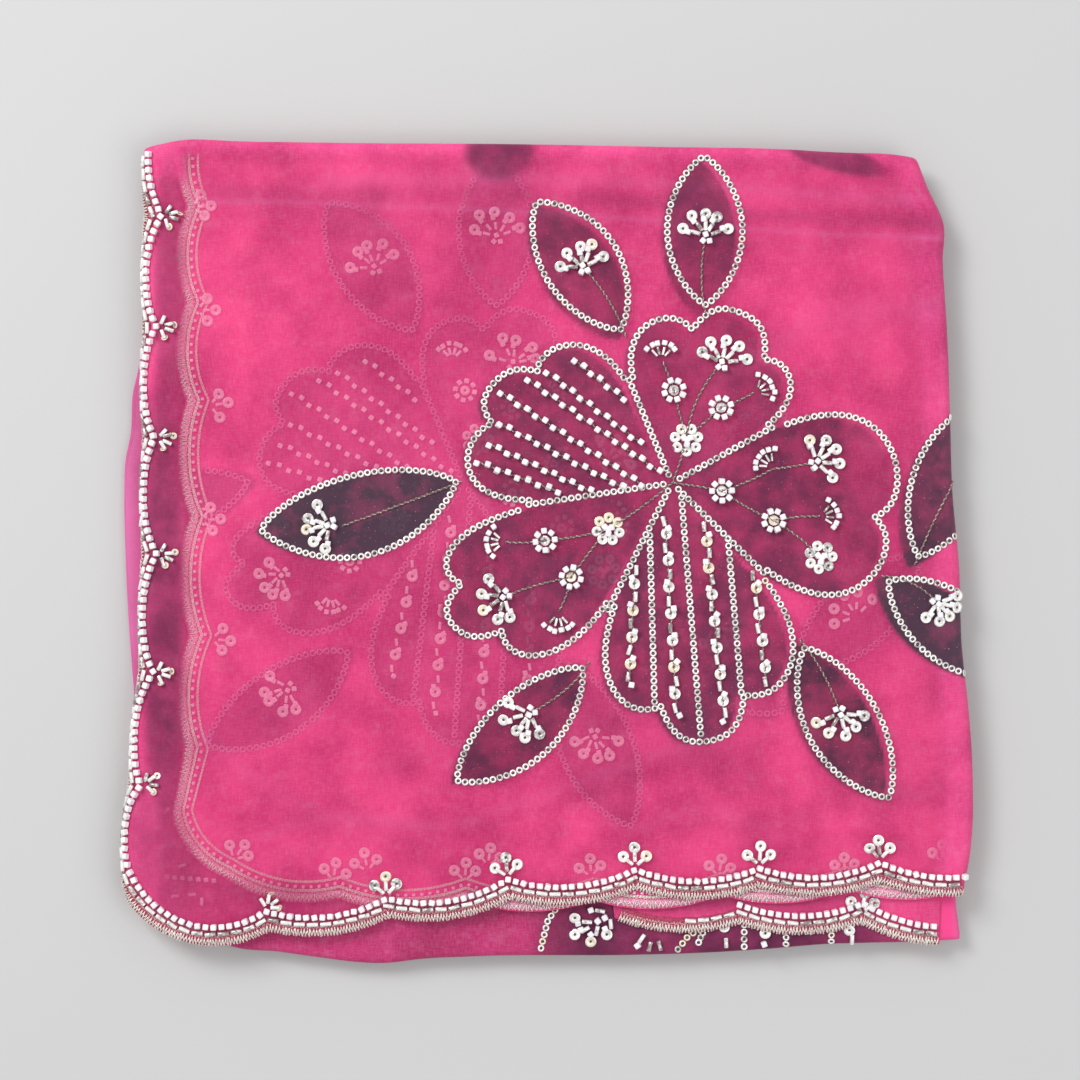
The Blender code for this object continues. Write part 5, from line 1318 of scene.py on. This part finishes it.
# What shows faintly through the top layer: the same flower on the layer below.
ghostAt = centre + flower["ghostShift"]
shift = np.array([*flower["ghostShift"], 0.0])
ghostRings = np.concatenate(petalRings + leafRings) + shift


def inSecond(rows):
    # Rows turned with the lower flower and kept inside its layer.
    rows = np.column_stack([*ghostTurn(rows[:, 0], rows[:, 1]), rows[:, 2]])
    return rows[(rows[:, 0] > -122) & (rows[:, 0] < 140) & (rows[:, 1] < 140)]


lowerRings = ringLine(leafLine(flower["lowerLeaf"]), True)
ghostRings = np.concatenate([inSecond(ghostRings), lowerRings])
sewRows("ghostRings", "ring", "second", ghostRings, 0.1, dimBack, "sequins", tiltDeg=5.0)
ghostSprigs, ghostInner = allMotifs(ghostAt)
lowerSprig = sprig((111.4, -23.2), 120)
flatter = (1, 1, 0.45)
ghostSequins = inSecond(np.concatenate([ghostSprigs["sequin"], ghostInner["sequin"]]))
sewRows("ghostSequins", "sequin", "second", np.concatenate([ghostSequins, lowerSprig["sequin"]]), 0.1,
        fadedBack, "sequins", tiltDeg=5.0)
ghostBugles = inSecond(np.concatenate([ghostSprigs["bugle"], ghostInner["bugle"], ghostInner["shortBugle"]]))
sewRows("ghostBugles", "bugle", "second", np.concatenate([ghostBugles, lowerSprig["bugle"]]), 0.35,
        fadedBack, "bugle_beads", scale=0.75, stretch=flatter)
sewRows("ghostFlowers", "sequin", "second", inSecond(ghostInner["smallSequin"]), 0.1, fadedBack, "sequins",
        scale=0.85)
ghostCubes = np.concatenate([ghostSprigs["cube"], ghostInner["cube"], ghostInner["smallCube"]])
sewRows("ghostCubes", "cube", "second", inSecond(ghostCubes), 0.4, fadedBack, "cube_beads", scale=0.85,
        stretch=flatter)

# Fleurs of the hems below, seen through the top layer or beside its hem, as (x, y, heading) in the pack.
lowerFleurs = {
    "second": ((-110.3, -106.6, 60), (-76.1, -113.8, 80), (-65.3, -110.2, 100), (-29.3, -113.8, 88),
               (-20.3, -108.4, 80), (15.7, -112.3, 95), (62.5, -112.3, 85), (107.5, -112.0, 92),
               (143.0, -107.3, 90), (-116.5, 53.1, 5), (-119.3, 11.7, 0), (-115.7, -31.5, -5),
               (-122.9, 125.1, 10), (-121.1, 87.3, 0)),
    "third": ((114.3, -125.0, 86),),
    "footBehind": 4.6,
}
fleurLooks = {
    "second": {"sequin": fadedBack, "bugle": fadedBack, "lift": 0.35, "scale": 0.7, "stretch": flatter},
    "third": {"sequin": silver, "bugle": glass, "lift": 0.9, "scale": 1.0, "stretch": (1, 1, 1)},
}
for layer, look in fleurLooks.items():
    rows = gather([fleurAt(np.array((x, y)) - lowerFleurs["footBehind"] * towards(deg), deg)
                   for x, y, deg in lowerFleurs[layer]])
    sewRows(layer + "FleurSequins", "sequin", layer, rows["sequin"], 0.12, look["sequin"], "sequins")
    sewRows(layer + "FleurBugles", "bugle", layer, rows["bugle"], look["lift"], look["bugle"], "bugle_beads",
            scale=look["scale"], stretch=look["stretch"])

# The flower of the fourth layer, of which a strip shows along the bottom.
fourthWork = {
    "rings": (((5.8, -125.0), (0.5, -133.0), (-2.0, -143.0)), ((57.5, -134.5), (51.0, -139.0), (47.5, -143.5)),
              ((56.5, -137.5), (55.0, -141.0)), ((71.5, -132.0), (71.5, -142.5)),
              ((86.6, -134.5), (86.6, -141.5)), ((103.0, -134.0), (103.0, -140.5))),
    "sequins": ((10.3, -132.0), (10.3, -138.1), (16.0, -140.6), (21.8, -138.1), (64.2, -135.3),
                (79.1, -137.6), (94.0, -136.0), (109.5, -136.5)),
    "bugles": ((19.3, -129.4, -12), (14.6, -133.4, -5), (13.9, -136.2, 30), (18.2, -136.6, 80),
               (23.2, -134.1, -84), (34.4, -139.5, 55), (37.3, -142.4, 76), (40.9, -142.0, -72),
               (64.9, -141.0, 92), (110.4, -139.8, 88)),
    "cubes": ((11.3, -133.7, 10), (16.0, -129.1, 20), (18.5, -133.0, 40), (21.1, -131.8, 30),
              (12.4, -136.2, 20), (16.0, -138.0, 40), (21.1, -135.9, 20), (32.9, -142.0, 35),
              (78.6, -141.4, 20)),
}
fourthRings = np.concatenate([ringLine(np.array(line)) for line in fourthWork["rings"]])
sewOn("fourthRings", "ring", "fourth", fourthRings[:, :2], 0.0, 0.12, silver, "sequins", tiltDeg=9.0)
sewOn("fourthSequins", "sequin", "fourth", fourthWork["sequins"], 0.0, 0.15, silver, "sequins", tiltDeg=8.0)
rows = np.array(fourthWork["bugles"])
sewOn("fourthBugles", "bugle", "fourth", rows[:, :2], rows[:, 2], 0.9, glass, "bugle_beads")
rows = np.array(fourthWork["cubes"])
sewOn("fourthCubes", "cube", "fourth", rows[:, :2], rows[:, 2], 1.2, pearl, "cube_beads", tiltDeg=9.0)
# The third layer's trims that show at the left, in the corner and beside the top hem.
cornerRow = np.column_stack([np.linspace(-137, -120, 7), np.linspace(-117.0, -118.4, 7), np.zeros(7)])
cornerBits = np.array(((-129.0, -106.0, 70), (-131.5, -113.0, 20), (-126.5, -109.5, 130), (-137.0, -93.0, 45),
                       (-134.0, -124.0, 8), (-128.0, -123.4, 4), (-124.5, -126.0, 88), (-137.5, -71.0, 60),
                       (-138.0, 20.0, 80), (-137.6, -9.0, 95)))
sewOn("cornerCubes", "cube", "third", cornerRow[:, :2], 10.0, 0.5, fadedBack, "cube_beads", scale=0.8)
sewOn("cornerBugles", "bugle", "third", cornerBits[:, :2], cornerBits[:, 2], 0.5, fadedBack, "bugle_beads",
      scale=0.8)
fourthHoles = np.concatenate([fourthRings[:, :2], fourthWork["sequins"]])
# Dark knots in the fourth layer's sequin holes, coloured as painted shade.
sewOn("fourthShadeKnots", "knot", "fourth", fourthHoles, 0.0, 0.12, paintedShadeKnot, "zari")

print("scene: studio")
studio = {"floor": (0.62, 0.62, 0.62, 1), "world": 0.55, "camera": (-0.00203, 0.00445, 0.930)}
floorMesh = bpy.data.meshes.new("floor")
floorMesh.from_pydata([(-3, -3, 0), (3, -3, 0), (3, 3, 0), (-3, 3, 0)], [], [(0, 1, 2, 3)])
floor = bpy.data.objects.new("floor", floorMesh)
bpy.context.scene.collection.objects.link(floor)
floorFinish, _, shader = newFinish("paleFloor", Roughness=0.9)
shader.inputs["Base Color"].default_value = studio["floor"]
floorMesh.materials.append(floorFinish)

bpy.context.scene.view_settings.view_transform = "Standard"
world = bpy.data.worlds.new("studio")
bpy.context.scene.world = world
world.use_nodes = True
world.node_tree.nodes["Background"].inputs[0].default_value = (1, 1, 1, 1)
world.node_tree.nodes["Background"].inputs[1].default_value = studio["world"]


def softLight(name, place, size, watts):
    # A square lamp that faces the pack's middle.
    data = bpy.data.lights.new(name, "AREA")
    data.size, data.energy = size, watts
    light = bpy.data.objects.new(name, data)
    light.location = place
    aim = -np.array(place)
    flatAim = math.hypot(aim[0], aim[1])
    light.rotation_euler = (math.atan2(flatAim, -aim[2]), 0, math.atan2(-aim[0], aim[1]))
    bpy.context.scene.collection.objects.link(light)


softLight("keyLight", (-0.9, 0.9, 1.2), 0.7, 18)
softLight("fillLight", (1.0, -0.5, 1.4), 1.2, 8)

camera = bpy.data.objects.new("camera", bpy.data.cameras.new("camera"))
camera.data.lens, camera.data.sensor_width = 85, 36
camera.location = studio["camera"]
bpy.context.scene.collection.objects.link(camera)
bpy.context.scene.camera = camera
